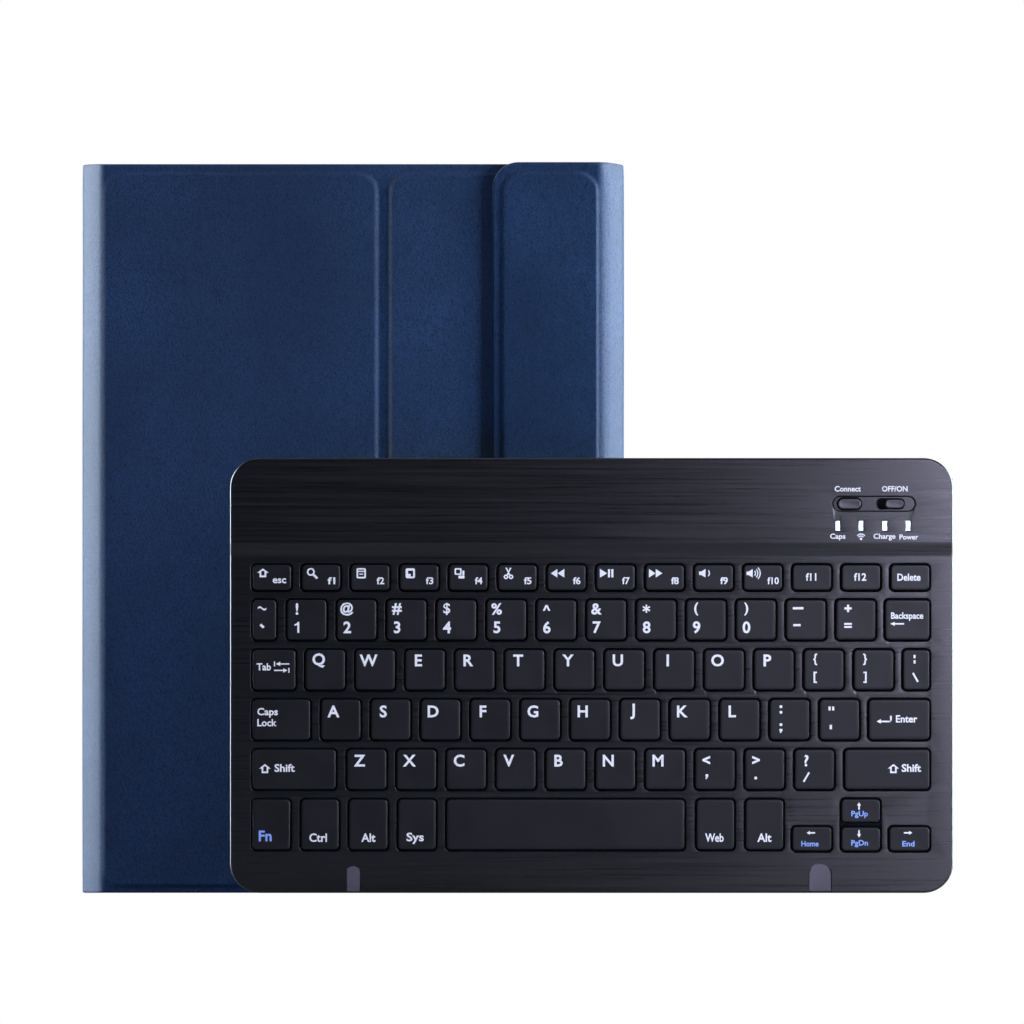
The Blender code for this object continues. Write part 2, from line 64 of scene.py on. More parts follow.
def F(x, y, z):
    """folio millimetres to the row frame"""
    return Vector((FX + x * MM, FY + y * MM, z * MM))


def K(u, v, w):
    """keyboard millimetres to the row frame: along, up, and into the body"""
    return Vector((KX + u * MM, KY + w * MM, v * MM))


# ================================================================ materials
class Graph:
    """A Principled material with a few short-hands for its nodes."""

    def __init__(self, name, base, rough, metal=0.0, **sockets):
        self.mat = bpy.data.materials.new(name)
        self.mat.use_nodes = True
        self.tree = self.mat.node_tree
        self.shader = self.tree.nodes["Principled BSDF"]
        self.shader.inputs["Base Color"].default_value = (*base, 1)
        self.shader.inputs["Roughness"].default_value = rough
        self.shader.inputs["Metallic"].default_value = metal
        for key, value in sockets.items():
            self.shader.inputs[key.replace("_", " ")].default_value = value
        self.mat.diffuse_color = (*base, 1)

    def node(self, kind, **props):
        n = self.tree.nodes.new(kind)
        for key, value in props.items():
            setattr(n, key, value)
        return n

    def link(self, a, b):
        self.tree.links.new(a, b)

    def coords(self, scale, source="UV", location=(0, 0, 0)):
        """texture coordinates in millimetres times scale"""
        t = self.node("ShaderNodeTexCoord")
        m = self.node("ShaderNodeMapping")
        m.inputs["Scale"].default_value = [1000 * s for s in scale]
        m.inputs["Location"].default_value = location
        self.link(t.outputs[source], m.inputs["Vector"])
        return m.outputs["Vector"]

    def noise(self, vector, scale=1.0, detail=3.0, rough=0.5, distortion=0.0):
        n = self.node("ShaderNodeTexNoise")
        n.inputs["Scale"].default_value = scale
        n.inputs["Detail"].default_value = detail
        n.inputs["Roughness"].default_value = rough
        n.inputs["Distortion"].default_value = distortion
        self.link(vector, n.inputs["Vector"])
        return n.outputs["Fac"]

    def cells(self, vector, scale=1.0, feature="F1", smooth=None):
        n = self.node("ShaderNodeTexVoronoi", feature=feature)
        n.inputs["Scale"].default_value = scale
        if smooth is not None:
            n.inputs["Smoothness"].default_value = smooth
        self.link(vector, n.inputs["Vector"])
        return n.outputs["Distance"]

    def math(self, op, a, b):
        n = self.node("ShaderNodeMath", operation=op)
        for i, x in enumerate((a, b)):
            if isinstance(x, (int, float)):
                n.inputs[i].default_value = x
            else:
                self.link(x, n.inputs[i])
        return n.outputs[0]

    def fit(self, value, a, b, c, d):
        n = self.node("ShaderNodeMapRange")
        for i, x in enumerate((a, b, c, d)):
            n.inputs[i + 1].default_value = x
        self.link(value, n.inputs[0])
        return n.outputs[0]

    def ramp(self, value, stops, interpolation="LINEAR"):
        n = self.node("ShaderNodeValToRGB")
        n.color_ramp.interpolation = interpolation
        e = n.color_ramp.elements
        while len(e) < len(stops):
            e.new(0.5)
        for item, (at, colour) in zip(e, stops):
            item.position = at
            item.color = (*colour, 1)
        self.link(value, n.inputs[0])
        return n.outputs[0]

    def colour(self, output):
        self.link(output, self.shader.inputs["Base Color"])

    def rough(self, output):
        self.link(output, self.shader.inputs["Roughness"])

    def bump(self, height, distance_mm, strength=1.0):
        n = self.node("ShaderNodeBump")
        n.inputs["Strength"].default_value = strength
        n.inputs["Distance"].default_value = distance_mm * MM
        self.link(height, n.inputs["Height"])
        self.link(n.outputs[0], self.shader.inputs["Normal"])


def shade(c, k):
    return tuple(min(1.0, x * k) for x in c)


def leather_material():
    """Navy PU leather: soft upright wrinkles, fine pores, and a painted sheen: the ridges are painted lighter in the
    base colour.
    """
    base = (0.0037, 0.0082, 0.0210)
    g = Graph("navy_pu_leather", base, 0.5, Specular_IOR_Level=0.17)
    long = g.coords((1.7, 0.75, 1))
    fine = g.coords((3.2, 2.2, 1))
    wide = g.coords((0.022, 0.016, 1))
    wrinkle = g.noise(long, 1.0, 4.0, 0.60, 0.9)
    ridge = g.math("ABSOLUTE", g.math("SUBTRACT", wrinkle, 0.5), 0.0)
    ridge = g.fit(ridge, 0.0, 0.13, 1.0, 0.0)
    pores = g.noise(fine, 1.0, 3.0, 0.6, 0.4)
    tone = g.noise(wide, 1.0, 3.0, 0.55)
    height = g.math("ADD", g.math("MULTIPLY", ridge, 0.60), g.math("MULTIPLY", pores, 0.42))
    g.bump(height, 0.05, 0.9)
    # base colour is lighter where the grain stands high: painted sheen on the wrinkle ridges and pores, mixed with
    # random tone
    tone_and_painted_ridge_sheen = g.math("ADD", g.math("MULTIPLY", height, 0.70), g.math("MULTIPLY", tone, 0.30))
    g.colour(g.ramp(tone_and_painted_ridge_sheen, [(0.24, shade(base, 0.72)), (0.46, shade(base, 0.92)), (0.60, shade(base, 1.35)), (0.74, shade(base, 2.6))]))
    g.rough(g.fit(pores, 0.3, 0.7, 0.46, 0.60))
    return g.mat


def lining_material():
    """Charcoal microfibre inside the covers."""
    base = (0.022, 0.0235, 0.029)
    g = Graph("charcoal_microfibre", base, 0.95, Specular_IOR_Level=0.2, Sheen_Weight=0.35, Sheen_Roughness=0.4)
    fuzz = g.noise(g.coords((3.2, 3.2, 1)), 1.0, 4.0, 0.7)
    nap = g.noise(g.coords((0.05, 0.09, 1)), 1.0, 4.0, 0.6, 0.6)
    g.bump(fuzz, 0.10, 0.8)
    g.colour(g.ramp(g.math("ADD", g.math("MULTIPLY", fuzz, 0.5), g.math("MULTIPLY", nap, 0.5)),
                    [(0.35, shade(base, 0.7)), (0.65, shade(base, 1.35))]))
    g.rough(g.fit(nap, 0.3, 0.7, 0.88, 1.0))
    return g.mat


def brushed_material():
    """Black keyboard case with a fine grain brushed from side to side."""
    base = (0.0038, 0.0035, 0.0047)
    g = Graph("black_brushed_case", base, 0.34, Specular_IOR_Level=0.5, Anisotropic=0.6, Anisotropic_Rotation=0.25)
    lines = g.noise(g.coords((0.012, 1.1, 1.0)), 1.0, 6.0, 0.8)
    broad = g.noise(g.coords((0.010, 0.75, 1.0)), 1.0, 3.0, 0.6)
    both = g.math("ADD", g.math("MULTIPLY", lines, 0.65), g.math("MULTIPLY", broad, 0.35))
    g.bump(lines, 0.03, 0.7)
    g.colour(g.ramp(both, [(0.40, shade(base, 0.6)), (0.5, base), (0.60, shade(base, 1.8))]))
    g.rough(g.fit(both, 0.40, 0.60, 0.25, 0.38))
    tangent = g.node("ShaderNodeTangent", direction_type="UV_MAP", uv_map="UVMap")
    g.link(tangent.outputs[0], g.shader.inputs["Tangent"])
    return g.mat


def moulded_material(name, base, rough, grain_mm=0.25, bump_mm=0.012, source="UV", spec=0.45):
    """Moulded plastic: spark-eroded grain with a slight change of gloss."""
    g = Graph(name, base, rough, Specular_IOR_Level=spec)
    k = 1.0 / grain_mm
    grain = g.noise(g.coords((k, k, k), source), 1.0, 3.0, 0.6)
    patch = g.noise(g.coords((0.06, 0.06, 0.06), source), 1.0, 3.0, 0.55)
    g.bump(grain, bump_mm, 0.6)
    g.colour(g.ramp(g.math("ADD", g.math("MULTIPLY", grain, 0.4), g.math("MULTIPLY", patch, 0.6)),
                    [(0.36, shade(base, 0.84)), (0.64, shade(base, 1.18))]))
    g.rough(g.fit(patch, 0.3, 0.7, rough - 0.04, rough + 0.05))
    return g.mat


def ink_material(name, base):
    """Printed legend."""
    g = Graph(name, base, 0.5)
    wear = g.noise(g.coords((0.9, 0.9, 0.9), "Object"), 1.0, 3.0, 0.6)
    g.colour(g.ramp(wear, [(0.35, shade(base, 0.90)), (0.6, base)]))
    g.bump(wear, 0.004, 0.4)
    return g.mat


def metal_material(name, base, rough, along=(0.05, 4.0, 4.0)):
    """Rolled or plated metal."""
    g = Graph(name, base, rough, 1.0)
    lines = g.noise(g.coords(along, "Object"), 1.0, 4.0, 0.65)
    g.bump(lines, 0.01, 0.4)
    g.colour(g.ramp(lines, [(0.35, shade(base, 0.85)), (0.65, shade(base, 1.1))]))
    g.rough(g.fit(lines, 0.3, 0.7, rough - 0.06, rough + 0.08))
    return g.mat


LEATHER = leather_material()
LINING = lining_material()
BRUSHED = brushed_material()
KEYCAP = moulded_material("black_keycap_abs", (0.0070, 0.0066, 0.0086), 0.40, 0.32, 0.006, "UV", 0.24)
CONTROL = moulded_material("black_control_abs", (0.012, 0.0115, 0.0145), 0.34, 0.4, 0.004, "Object")
CASE_BACK = moulded_material("black_case_back", (0.020, 0.0195, 0.022), 0.46, 0.35, 0.02, "Object")
TRAY = moulded_material("black_tray_tpu", (0.018, 0.018, 0.020), 0.44, 0.45, 0.02, "Object")
# the groove floors get a lighter grey-lavender colour: a painted highlight standing in for light reflected in the
# scoops
SCOOP_PAINTED_HIGHLIGHT = moulded_material("satin_scoop", (0.105, 0.095, 0.125), 0.34, 0.4, 0.01, "UV", 0.5)
WHITE = ink_material("white_ink", (0.86, 0.86, 0.90))
BLUE = ink_material("blue_ink", (0.24, 0.40, 0.92))
STEEL = metal_material("plated_steel", (0.55, 0.55, 0.57), 0.34)
MAGNET = metal_material("nickel_magnet", (0.46, 0.46, 0.48), 0.28, (1.2, 1.2, 1.2))
FOIL = metal_material("battery_foil_wrap", (0.60, 0.61, 0.64), 0.36, (0.3, 0.9, 0.9))
BOARD = moulded_material("grey_board", (0.30, 0.27, 0.23), 0.9, 0.6, 0.03, "Object", 0.2)
FILM = moulded_material("black_switch_film", (0.010, 0.010, 0.012), 0.5, 1.2, 0.01, "Object")
PCB = moulded_material("dark_green_board", (0.006, 0.020, 0.012), 0.5, 1.0, 0.02, "Object")
RUBBER = moulded_material("black_rubber", (0.022, 0.022, 0.022), 0.82, 0.3, 0.03, "Object", 0.3)


def light_guide_material():
    """Milky light guide behind the status windows."""
    base = (0.66, 0.68, 0.80)
    g = Graph("milky_light_guide", base, 0.24, Subsurface_Weight=0.15, Coat_Weight=0.2)
    cloud = g.noise(g.coords((0.8, 0.8, 0.8), "Object"), 1.0, 3.0, 0.5)
    place = g.node("ShaderNodeTexCoord")
    split = g.node("ShaderNodeSeparateXYZ")
    g.link(place.outputs["Object"], split.inputs[0])
    depth = g.fit(split.outputs["Y"], KY + 0.0008, KY + 0.0014, 0.0, 1.0)        # the tips are clear, the stem is painted black
    tint = g.math("MULTIPLY", g.fit(cloud, 0.3, 0.7, 0.8, 1.0), g.math("SUBTRACT", 1.0, depth))
    g.colour(g.ramp(tint, [(0.0, (0.006, 0.006, 0.007)), (0.8, shade(base, 0.9)), (1.0, shade(base, 1.05))]))
    g.bump(cloud, 0.01, 0.3)
    return g.mat


GUIDE = light_guide_material()


# ================================================================ mesh helpers
def finish_mesh(name, bm, materials, weld=1e-7, sharp=40.0, outward=True):
    """bm in the row frame to a new object with smooth shading and sharp corners"""
    if weld:
        bmesh.ops.remove_doubles(bm, verts=bm.verts, dist=weld)
    bmesh.ops.dissolve_degenerate(bm, edges=bm.edges, dist=1e-8)
    if outward:
        bmesh.ops.recalc_face_normals(bm, faces=bm.faces)
        if bm.calc_volume(signed=True) < 0:
            bmesh.ops.reverse_faces(bm, faces=bm.faces)
    mesh = bpy.data.meshes.new(name)
    bm.to_mesh(mesh)
    bm.free()
    for m in materials:
        mesh.materials.append(m)
    mesh.shade_smooth()
    mesh.set_sharp_from_angle(angle=math.radians(sharp))
    obj = bpy.data.objects.new(name, mesh)
    scene.collection.objects.link(obj)
    return obj


def even_normals(obj):
    """flat faces keep their own normal beside a rounded edge"""
    mod = obj.modifiers.new("even_normals", "WEIGHTED_NORMAL")
    mod.mode = "FACE_AREA"
    mod.weight = 100
    mod.keep_sharp = True


def smooth01(t):
    t = min(1.0, max(0.0, t))
    return t * t * (3 - 2 * t)


def spread(lo, hi, dense, coarse):
    """positions from lo to hi, closer together inside the (from, to, step) ranges"""
    out, p = [lo], lo
    marks = sorted({x for a, b, _ in dense for x in (a, b)})
    while p < hi - 1e-6:
        step = coarse
        for a, b, st in dense:
            if a - 1e-6 <= p < b - 1e-6:
                step = min(step, st)
        q = min(p + step, hi)
        for m in marks:
            if p + 1e-6 < m < q:
                q = m
                break
        out.append(q)
        p = q
    return out


# ================================================================ the folio's skin
R_C, R_F = 8.2, 9.6
LEGS = [                                   # the closed folio's outer face, from the tray panel's hidden edge round to the flap
    ("line", 180.0, 0.0, -1, 0, 171.8, 0, -1),
    ("arc", 8.2, 8.2, R_C, -90, -180),
    ("line", 0.0, 8.2, 0, 1, 4.8, -1, 0),
    ("arc", 8.2, 13.0, R_C, 180, 90),
    ("line", 8.2, 21.2, 1, 0, 169.7, 0, 1),
    ("arc", 177.9, 13.0, R_C, 90, 0),
    ("line", 186.1, 13.0, 0, -1, 6.1, 1, 0),
    ("arc", 176.5, 6.9, R_F, 0, -90),
    ("line", 176.5, -2.7, -1, 0, 35.6, 0, -1),
]
ENDS = [0.0]
for leg in LEGS:
    ENDS.append(ENDS[-1] + (leg[5] if leg[0] == "line" else leg[3] * math.pi / 2))
S_FRONT, S_SPINE0, S_SPINE1, S_BACK0, S_BACK1, S_CLOSE0, S_CLOSE1, S_FLAP, S_END = ENDS[1:]


def bevel_turn(t):
    """how far the leather has turned, in degrees, at fraction t of a wrapped edge: quick, slow, quick"""
    a, b, q = 0.26, 0.74, 42.0
    if t < a:
        return q * (1 - (1 - t / a) ** 1.2)
    if t > b:
        return 90 - q * (1 - (1 - (1 - t) / a) ** 1.2)
    return q + (90 - 2 * q) * (t - a) / (b - a)


BEVEL, _x, _y = [], 0.0, 0.0               # (turn, along, across) at 200 steps, with a quarter turn ending at (1, 1)
for _i in range(201):
    BEVEL.append((bevel_turn(_i / 200), _x, _y))
    _m = math.radians(bevel_turn((_i + 0.5) / 200))
    _x, _y = _x + math.cos(_m), _y + math.sin(_m)
BEVEL = [(t, x / BEVEL[-1][1], y / BEVEL[-1][2]) for t, x, y in BEVEL]


def wrapped(t):
    k = min(max(t, 0.0), 1.0) * 200
    i = min(int(k), 199)
    f = k - i
    a, b = BEVEL[i], BEVEL[i + 1]
    return tuple(a[n] + (b[n] - a[n]) * f for n in range(3))


def path(s):
    """point on the outer face and its outward normal"""
    for i, leg in enumerate(LEGS):
        if s <= ENDS[i + 1] + 1e-9 or i == len(LEGS) - 1:
            t = s - ENDS[i]
            if leg[0] == "line":
                _, x, y, dx, dy, _, nx, ny = leg
                return x + dx * t, y + dy * t, nx, ny
            _, cx, cy, r, a0, a1 = leg
            turn, along, across = wrapped(t / (r * math.pi / 2))
            n0 = (math.cos(math.radians(a0)), math.sin(math.radians(a0)))     # normal at the start; the end's is n1
            n1 = (math.cos(math.radians(a1)), math.sin(math.radians(a1)))
            w = math.radians(turn)
            return (cx + r * (n0[0] * (1 - across) + n1[0] * along), cy + r * (n0[1] * (1 - across) + n1[1] * along),
                    n0[0] * math.cos(w) + n1[0] * math.sin(w), n0[1] * math.cos(w) + n1[1] * math.sin(w))


# stiffened areas: from s, to s, from z, to z, corner radius, depth beyond the low end, beyond the high end, slope width, far slope length
AREAS = [
    (1.2, 73.1, 3.2, 246.2, 5.5, 0.40, 0.85, 2.0),         # tray panel, x 178.8 to 106.9
    (79.8, 171.6, 3.2, 246.2, 5.5, 0.85, 0.13, 2.0),       # stand panel, x 100.2 to 8.6
    (S_BACK0 + 0.4, S_BACK1 - 0.4, 3.2, 246.2, 5.5, 0.42, 0.42, 2.0),
    (S_FLAP + 0.2, S_END - 4.0, 4.0, 246.4, 6.0, 0.42, 0.55, 1.7),
]
TOP_DEPTH, TOP_WIDTH = 0.62, 1.7


def sunk(s, z, zlo, zhi):
    """how far the leather lies below the level of the boards"""
    best, found = 1e9, 0.0
    for a, b, zl, zh, r, deep0, deep1, width in AREAS:
        if s < a - 14 or s > b + 14:
            continue
        cs, cz = (a + b) / 2, (zl + zh) / 2
        qs = abs(s - cs) - ((b - a) / 2 - r)
        qz = abs(z - cz) - ((zh - zl) / 2 - r)
        ps, pz = max(qs, 0.0), max(qz, 0.0)
        d = math.hypot(ps, pz) - r if (ps or pz) else -r
        if d < best:
            best = d
            if d <= 0:
                found = 0.0
                continue
            share = ps * ps / (ps * ps + pz * pz)
            side = deep0 if s < cs else deep1
            if side == 0.85:
                lateral = side * smooth01(d / width)
            elif (a, s < cs) == (AREAS[3][0], False):
                lateral = side * smooth01(d / width)
            else:                                        # next to a rounded edge: a short step, which then fades
                lateral = side * smooth01(d / 1.5) * (1 - smooth01((d - 1.2) / 5.5))
            found = share * lateral + (1 - share) * TOP_DEPTH * smooth01(d / TOP_WIDTH)
    if best > 1e8:
        over = max(z - 246.2, 3.2 - z, 0.0)
        found = 0.25 * smooth01(over / 2.2)
    return found


def thickness(s):
    """depth of the inner face below the outer one"""
    def valley(at, half, low, high):
        d = abs(s - at)
        return low + (high - low) * smooth01((d - half) / 2.2)
    panel = 2.3 if not S_FLAP - 0.5 < s else 2.4
    t = panel
    for apex in ((S_FRONT + S_SPINE0) / 2, (S_SPINE1 + S_BACK0) / 2, (S_BACK1 + S_CLOSE0) / 2, (S_CLOSE1 + S_FLAP) / 2):
        t = min(t, valley(apex, 2.0, 0.85, panel))
    return t


def z_rows(zlo, zhi, roll=0.5):
    near = [roll * (1 - math.cos(math.radians(a))) for a in range(0, 91, 15)]
    near += [0.7, 1.0, 1.35, 1.7, 2.05, 2.4, 2.75, 3.1, 3.4, 3.7, 4.0, 4.3, 4.65, 5.0, 5.4, 5.9, 6.5, 7.2, 8.0, 9.0, 10.2, 12.0, 14.5]
    mid = [i / 42 for i in range(43)]
    last = near[-1]
    rows = [zlo + e for e in near]
    rows += [zlo + last + (zhi - zlo - 2 * last) * t for t in mid[1:-1]]
    rows += [zhi - e for e in reversed(near)]
    return rows


def undulate(s, z):
    """very slight unevenness of glued leather"""
    return 0.035 * math.sin(s / 23.0 + 0.7) * math.sin(z / 31.0 + 1.1) + 0.022 * math.sin(s / 9.1 + z / 17.0)


def skin(name, s_lo, s_hi, dense, height, free_lo=None, free_hi=None, coarse=5.0, roll=0.5):
    """One closed wrap of leather over its boards: outer face, inner face with the lining, rolled rims.
    height(s) is its upper end; free_lo and free_hi are the corner radii of ends that join nothing."""
    stations = spread(s_lo, s_hi, dense, coarse)
    turns = [1 - math.cos(math.radians(a)) for a in range(0, 91, 6)]
    if free_hi:
        stations = [s for s in stations if s < s_hi - free_hi - 0.2] + [s_hi - free_hi * t for t in reversed(turns)]
    if free_lo:
        stations = [s_lo + free_lo * t for t in turns] + [s for s in stations if s > s_lo + free_lo + 0.2]
    n_rows = len(z_rows(0, 250, roll))

    def cut(s):
        for r, d in ((free_lo, s - s_lo), (free_hi, s_hi - s)):
            if r and d < r:
                return r - math.sqrt(max(0.0, r * r - (r - d) ** 2))
        return 0.0

    def edge(s, z):
        top = height(s)
        dz = min(z, top - z)
        d = dz
        for r, ds in ((free_lo, s - s_lo), (free_hi, s_hi - s)):
            if r:
                if ds < r and dz < r:
                    d = min(d, r - math.hypot(r - ds, r - dz))
                else:
                    d = min(d, ds)
        return max(d, 0.0)

    bm = bmesh.new()
    uv = bm.loops.layers.uv.new("UVMap")
    outer, inner, where = [], [], {}
    for s in stations:
        x, y, nx, ny = path(s)
        c = cut(s)
        rows = z_rows(c, height(s) - c, roll)
        col_o, col_i = [], []
        for j, z in enumerate(rows):
            d = edge(s, z)
            fade = smooth01((d - 0.5) / 4.0)
            e = sunk(s, z, 0, height(s)) + undulate(s, z) * fade
            t = thickness(s)
            lining = smooth01((d - 3.0) / 0.3)
            t_in = t - 0.26 * (1 - lining) if t > 1.9 else t - 0.1 * (1 - lining)
            m = e + 0.52 * (t_in - e)
            k = min(d / roll, 1.0)
            th = math.sqrt(max(0.0, 1 - (1 - k) ** 2))
            eo = m - (m - e) * th
            ti = m + (t_in - m) * th
            on_rim = j in (0, n_rows - 1) or d < 1e-7
            vo = bm.verts.new(F(x - nx * eo, y - ny * eo, z))
            vi = vo if on_rim else bm.verts.new(F(x - nx * ti, y - ny * ti, z))
            for v in (vo, vi):
                where[v] = (s, z, d)
            col_o.append(vo)
            col_i.append(vi)
        outer.append(col_o)
        inner.append(col_i)

    def face(vs, material=0):
        keep = []
        for v in vs:
            if v not in keep:
                keep.append(v)
        if len(keep) < 3:
            return
        try:
            f = bm.faces.new(keep)
        except ValueError:
            return
        f.material_index = material
        for loop in f.loops:
            s, z, _ = where[loop.vert]
            loop[uv].uv = (s * MM, z * MM)

    for i in range(len(stations) - 1):
        for j in range(n_rows - 1):
            face((outer[i][j], outer[i][j + 1], outer[i + 1][j + 1], outer[i + 1][j]))
            quad = (inner[i][j], inner[i + 1][j], inner[i + 1][j + 1], inner[i][j + 1])
            lined = min(where[v][2] for v in quad) > 2.95
            face(quad, 1 if lined else 0)
    for ends, free in ((0, free_lo), (len(stations) - 1, free_hi)):
        if free:
            continue
        for j in range(n_rows - 1):
            face((outer[ends][j], outer[ends][j + 1], inner[ends][j + 1], inner[ends][j]))
    return finish_mesh(name, bm, [LEATHER, LINING], weld=0, sharp=50)


def covers(s):
    return H


def towards_flap(s):
    return H + (H_FLAP - H) * smooth01((s - S_CLOSE1 - 1.0) / (S_FLAP - S_CLOSE1 - 3.0))


SEAM_A, SEAM_K0, SEAM_K1, SEAM_FLAP = S_FRONT - 0.2, S_BACK0 + 0.2, S_BACK1 - 0.2, S_FLAP + 0.1
MID_SPINE, MID_CLOSE = (S_SPINE0 + S_SPINE1) / 2, (S_CLOSE0 + S_CLOSE1) / 2

front = skin("front_leather_skin", 0.0, SEAM_A, [(0, 8, 0.9), (64, 90, 0.42), (162, SEAM_A, 0.5)], covers, free_lo=3.0)
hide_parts("tray_panel_leather", "tray_panel_lining", "stand_panel_leather", "stand_panel_lining")
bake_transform(front)

spine = skin("spine_leather_skin", SEAM_A, MID_SPINE, [(SEAM_A, MID_SPINE, 0.45)], covers)
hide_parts("spine_leather")
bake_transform(spine)

spine_back = skin("spine_rear_leather_skin", MID_SPINE, SEAM_K0, [(MID_SPINE, SEAM_K0, 0.45)], covers)
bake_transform(spine_back)

rear = skin("rear_cover_leather_skin", SEAM_K0, MID_CLOSE, [(SEAM_K0, SEAM_K0 + 9, 0.5), (SEAM_K1 - 9, SEAM_K1, 0.5), (SEAM_K1, MID_CLOSE, 0.45)], covers)
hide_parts("keyboard_cover_leather", "keyboard_cover_lining")
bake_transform(rear)

closure = skin("closure_leather_skin", MID_CLOSE, SEAM_FLAP, [(MID_CLOSE, SEAM_FLAP, 0.45)], towards_flap)
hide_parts("closure_strip_leather")
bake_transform(closure)

flap = skin("flap_leather_skin", SEAM_FLAP, S_END, [(SEAM_FLAP, SEAM_FLAP + 9, 0.45), (S_END - 12, S_END, 0.45)], lambda s: H_FLAP, free_hi=9.0, coarse=4.0)
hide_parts("flap_leather", "flap_lining")
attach(flap, "closure_flap")


# ================================================================ tablet tray
def round_ring(x0, x1, z0, z1, r, seg=8):
    out = []
    for cx, cz, a0 in ((x1 - r, z0 + r, -90), (x1 - r, z1 - r, 0), (x0 + r, z1 - r, 90), (x0 + r, z0 + r, 180)):
        for i in range(seg + 1):
            a = math.radians(a0 + 90 * i / seg)
            out.append((cx + r * math.cos(a), cz + r * math.sin(a)))
    return out


def box_cutter(name, x0, x1, y0, y1, z0, z1, r):
    """rounded block, used to cut the tray's notches and then removed"""
    bm = bmesh.new()
    ring = round_ring(x0, x1, z0, z1, r, 5)
    a = [bm.verts.new(F(x, y0, z)) for x, z in ring]
    b = [bm.verts.new(F(x, y1, z)) for x, z in ring]
    bm.faces.new(a)
    bm.faces.new(b[::-1])
    for i in range(len(a)):
        j = (i + 1) % len(a)
        bm.faces.new((a[j], a[i], b[i], b[j]))
    return finish_mesh(name, bm, [TRAY])


def tray_piece():
    """hard shell: floor, rounded outer edge, wall and inward lip"""
    x0, x1, z0, z1, y0, y1, r = 6.8, 179.8, 3.2, 247.1, 2.5, 12.2, 8.0
    rings = []
    fillet = 1.2
    for a in range(0, 91, 15):                                   # outer lower edge
        c, s = math.cos(math.radians(a)), math.sin(math.radians(a))
        rings.append((fillet * (1 - s), y0 + fillet * (1 - c)))
    rings += [(0.0, y1 - 0.35), (0.08, y1 - 0.12), (0.3, y1)]
    lip = 1.6 + 0.9
    rings += [(lip - 0.25, y1), (lip - 0.07, y1 - 0.08), (lip, y1 - 0.25), (lip, y1 - 0.65), (lip - 0.1, y1 - 0.85), (1.75, y1 - 0.95), (1.6, y1 - 1.2),
              (1.6, y0 + 2.0), (1.75, y0 + 1.55), (2.1, y0 + 1.3), (4.0, y0 + 1.3)]
    bm = bmesh.new()
    levels = []
    for inset, y in rings:
        levels.append([bm.verts.new(F(x, y, z)) for x, z in round_ring(x0 + inset, x1 - inset, z0 + inset, z1 - inset, max(r - inset, 0.8))])
    n = len(levels[0])
    for a, b in zip(levels, levels[1:]):
        for i in range(n):
            j = (i + 1) % n
            bm.faces.new((a[i], a[j], b[j], b[i]))
    bm.faces.new(levels[0][::-1])
    bm.faces.new(levels[-1])
    tray = finish_mesh("tablet_tray_shell", bm, [TRAY], sharp=35)
    cutters = [
        box_cutter("cut_plug", 86.0, 101.0, 5.2, 30.0, z0 - 3.0, z0 + 4.2, 1.5),
        box_cutter("cut_buttons", x1 - 4.2, x1 + 3.0, 5.2, 30.0, 188.0, 226.0, 1.5),
    ]
    for cutter in cutters:
        mod = tray.modifiers.new("notch", "BOOLEAN")
        mod.operation, mod.object, mod.solver = "DIFFERENCE", cutter, "EXACT"
    dg = bpy.context.evaluated_depsgraph_get()
    cutmesh = bpy.data.meshes.new_from_object(tray.evaluated_get(dg))
    tray.modifiers.clear()
    tray.data = cutmesh
    cutmesh.set_sharp_from_angle(angle=math.radians(35))
    for cutter in cutters:
        bpy.data.objects.remove(cutter, do_unlink=True)
    return tray


tray = tray_piece()
even_normals(tray)
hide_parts("tablet_tray")
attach(tray, "tablet_side")

# ================================================================ keyboard
KB_W, KB_H, KB_R = 246.0, 148.0, 10.0
BAND_V, RAMP_V, FIELD = 119.1, 114.7, 0.9
PLATE_IN, RIM_W, WALL = 2.1, 4.7, 1.2
EDGE = 0.7
GAP = 0.45

KEYS = []


def row(piece, start, count, pitch, width, v0, v1):
    for i in range(count):
        KEYS.append((piece, start + pitch * i, start + pitch * i + width, v0, v1))


V1, V2, V3, V4, V5, V6 = (102.8, 111.8), (85.9, 99.9), (68.9, 82.9), (51.9, 66.0), (35.0, 49.0), (14.5, 32.0)
EDGE_R = 238.1
row("esc_key", 7.5, 1, 0, 13.5, *V1)
row("function_row_keys", 24.2, 12, 16.70, 13.5, *V1)
row("delete_key", 224.6, 1, 0, EDGE_R - 224.6, *V1)
row("number_row_keys", 7.5, 1, 0, 8.4, *V2)
row("number_row_keys", 19.2, 12, 16.98, 13.8, *V2)
row("backspace_key", 222.7, 1, 0, EDGE_R - 222.7, *V2)
row("tab_key", 7.5, 1, 0, 15.0, *V3)
row("upper_letter_keys", 25.5, 12, 16.96, 13.8, *V3)
row("upper_letter_keys", 228.8, 1, 0, EDGE_R - 228.8, *V3)
row("caps_lock_key", 7.5, 1, 0, 20.0, *V4)
row("home_letter_keys", 30.8, 11, 16.96, 13.8, *V4)
row("enter_key", 217.1, 1, 0, EDGE_R - 217.1, *V4)
row("left_shift_key", 7.5, 1, 0, 28.7, *V5)
row("lower_letter_keys", 39.6, 10, 16.92, 13.8, *V5)
row("right_shift_key", 208.9, 1, 0, EDGE_R - 208.9, *V5)
row("fn_key", 7.5, 1, 0, 13.2, *V6)
row("ctrl_key", 24.0, 1, 0, 13.2, *V6)
row("left_alt_key", 40.3, 1, 0, 13.5, *V6)
row("system_key", 57.0, 1, 0, 13.2, *V6)
row("space_bar", 73.5, 1, 0, 81.3, *V6)
row("browser_key", 158.5, 1, 0, 13.2, *V6)
row("right_alt_key", 175.2, 1, 0, 13.2, *V6)
row("arrow_left_key", 191.1, 1, 0, 13.7, 14.1, 22.7)
row("arrow_up_key", 207.8, 1, 0, 13.5, 23.8, 32.1)
row("arrow_down_key", 207.8, 1, 0, 13.5, 14.1, 22.5)
row("arrow_right_key", 224.1, 1, 0, EDGE_R - 224.1, 14.1, 22.7)

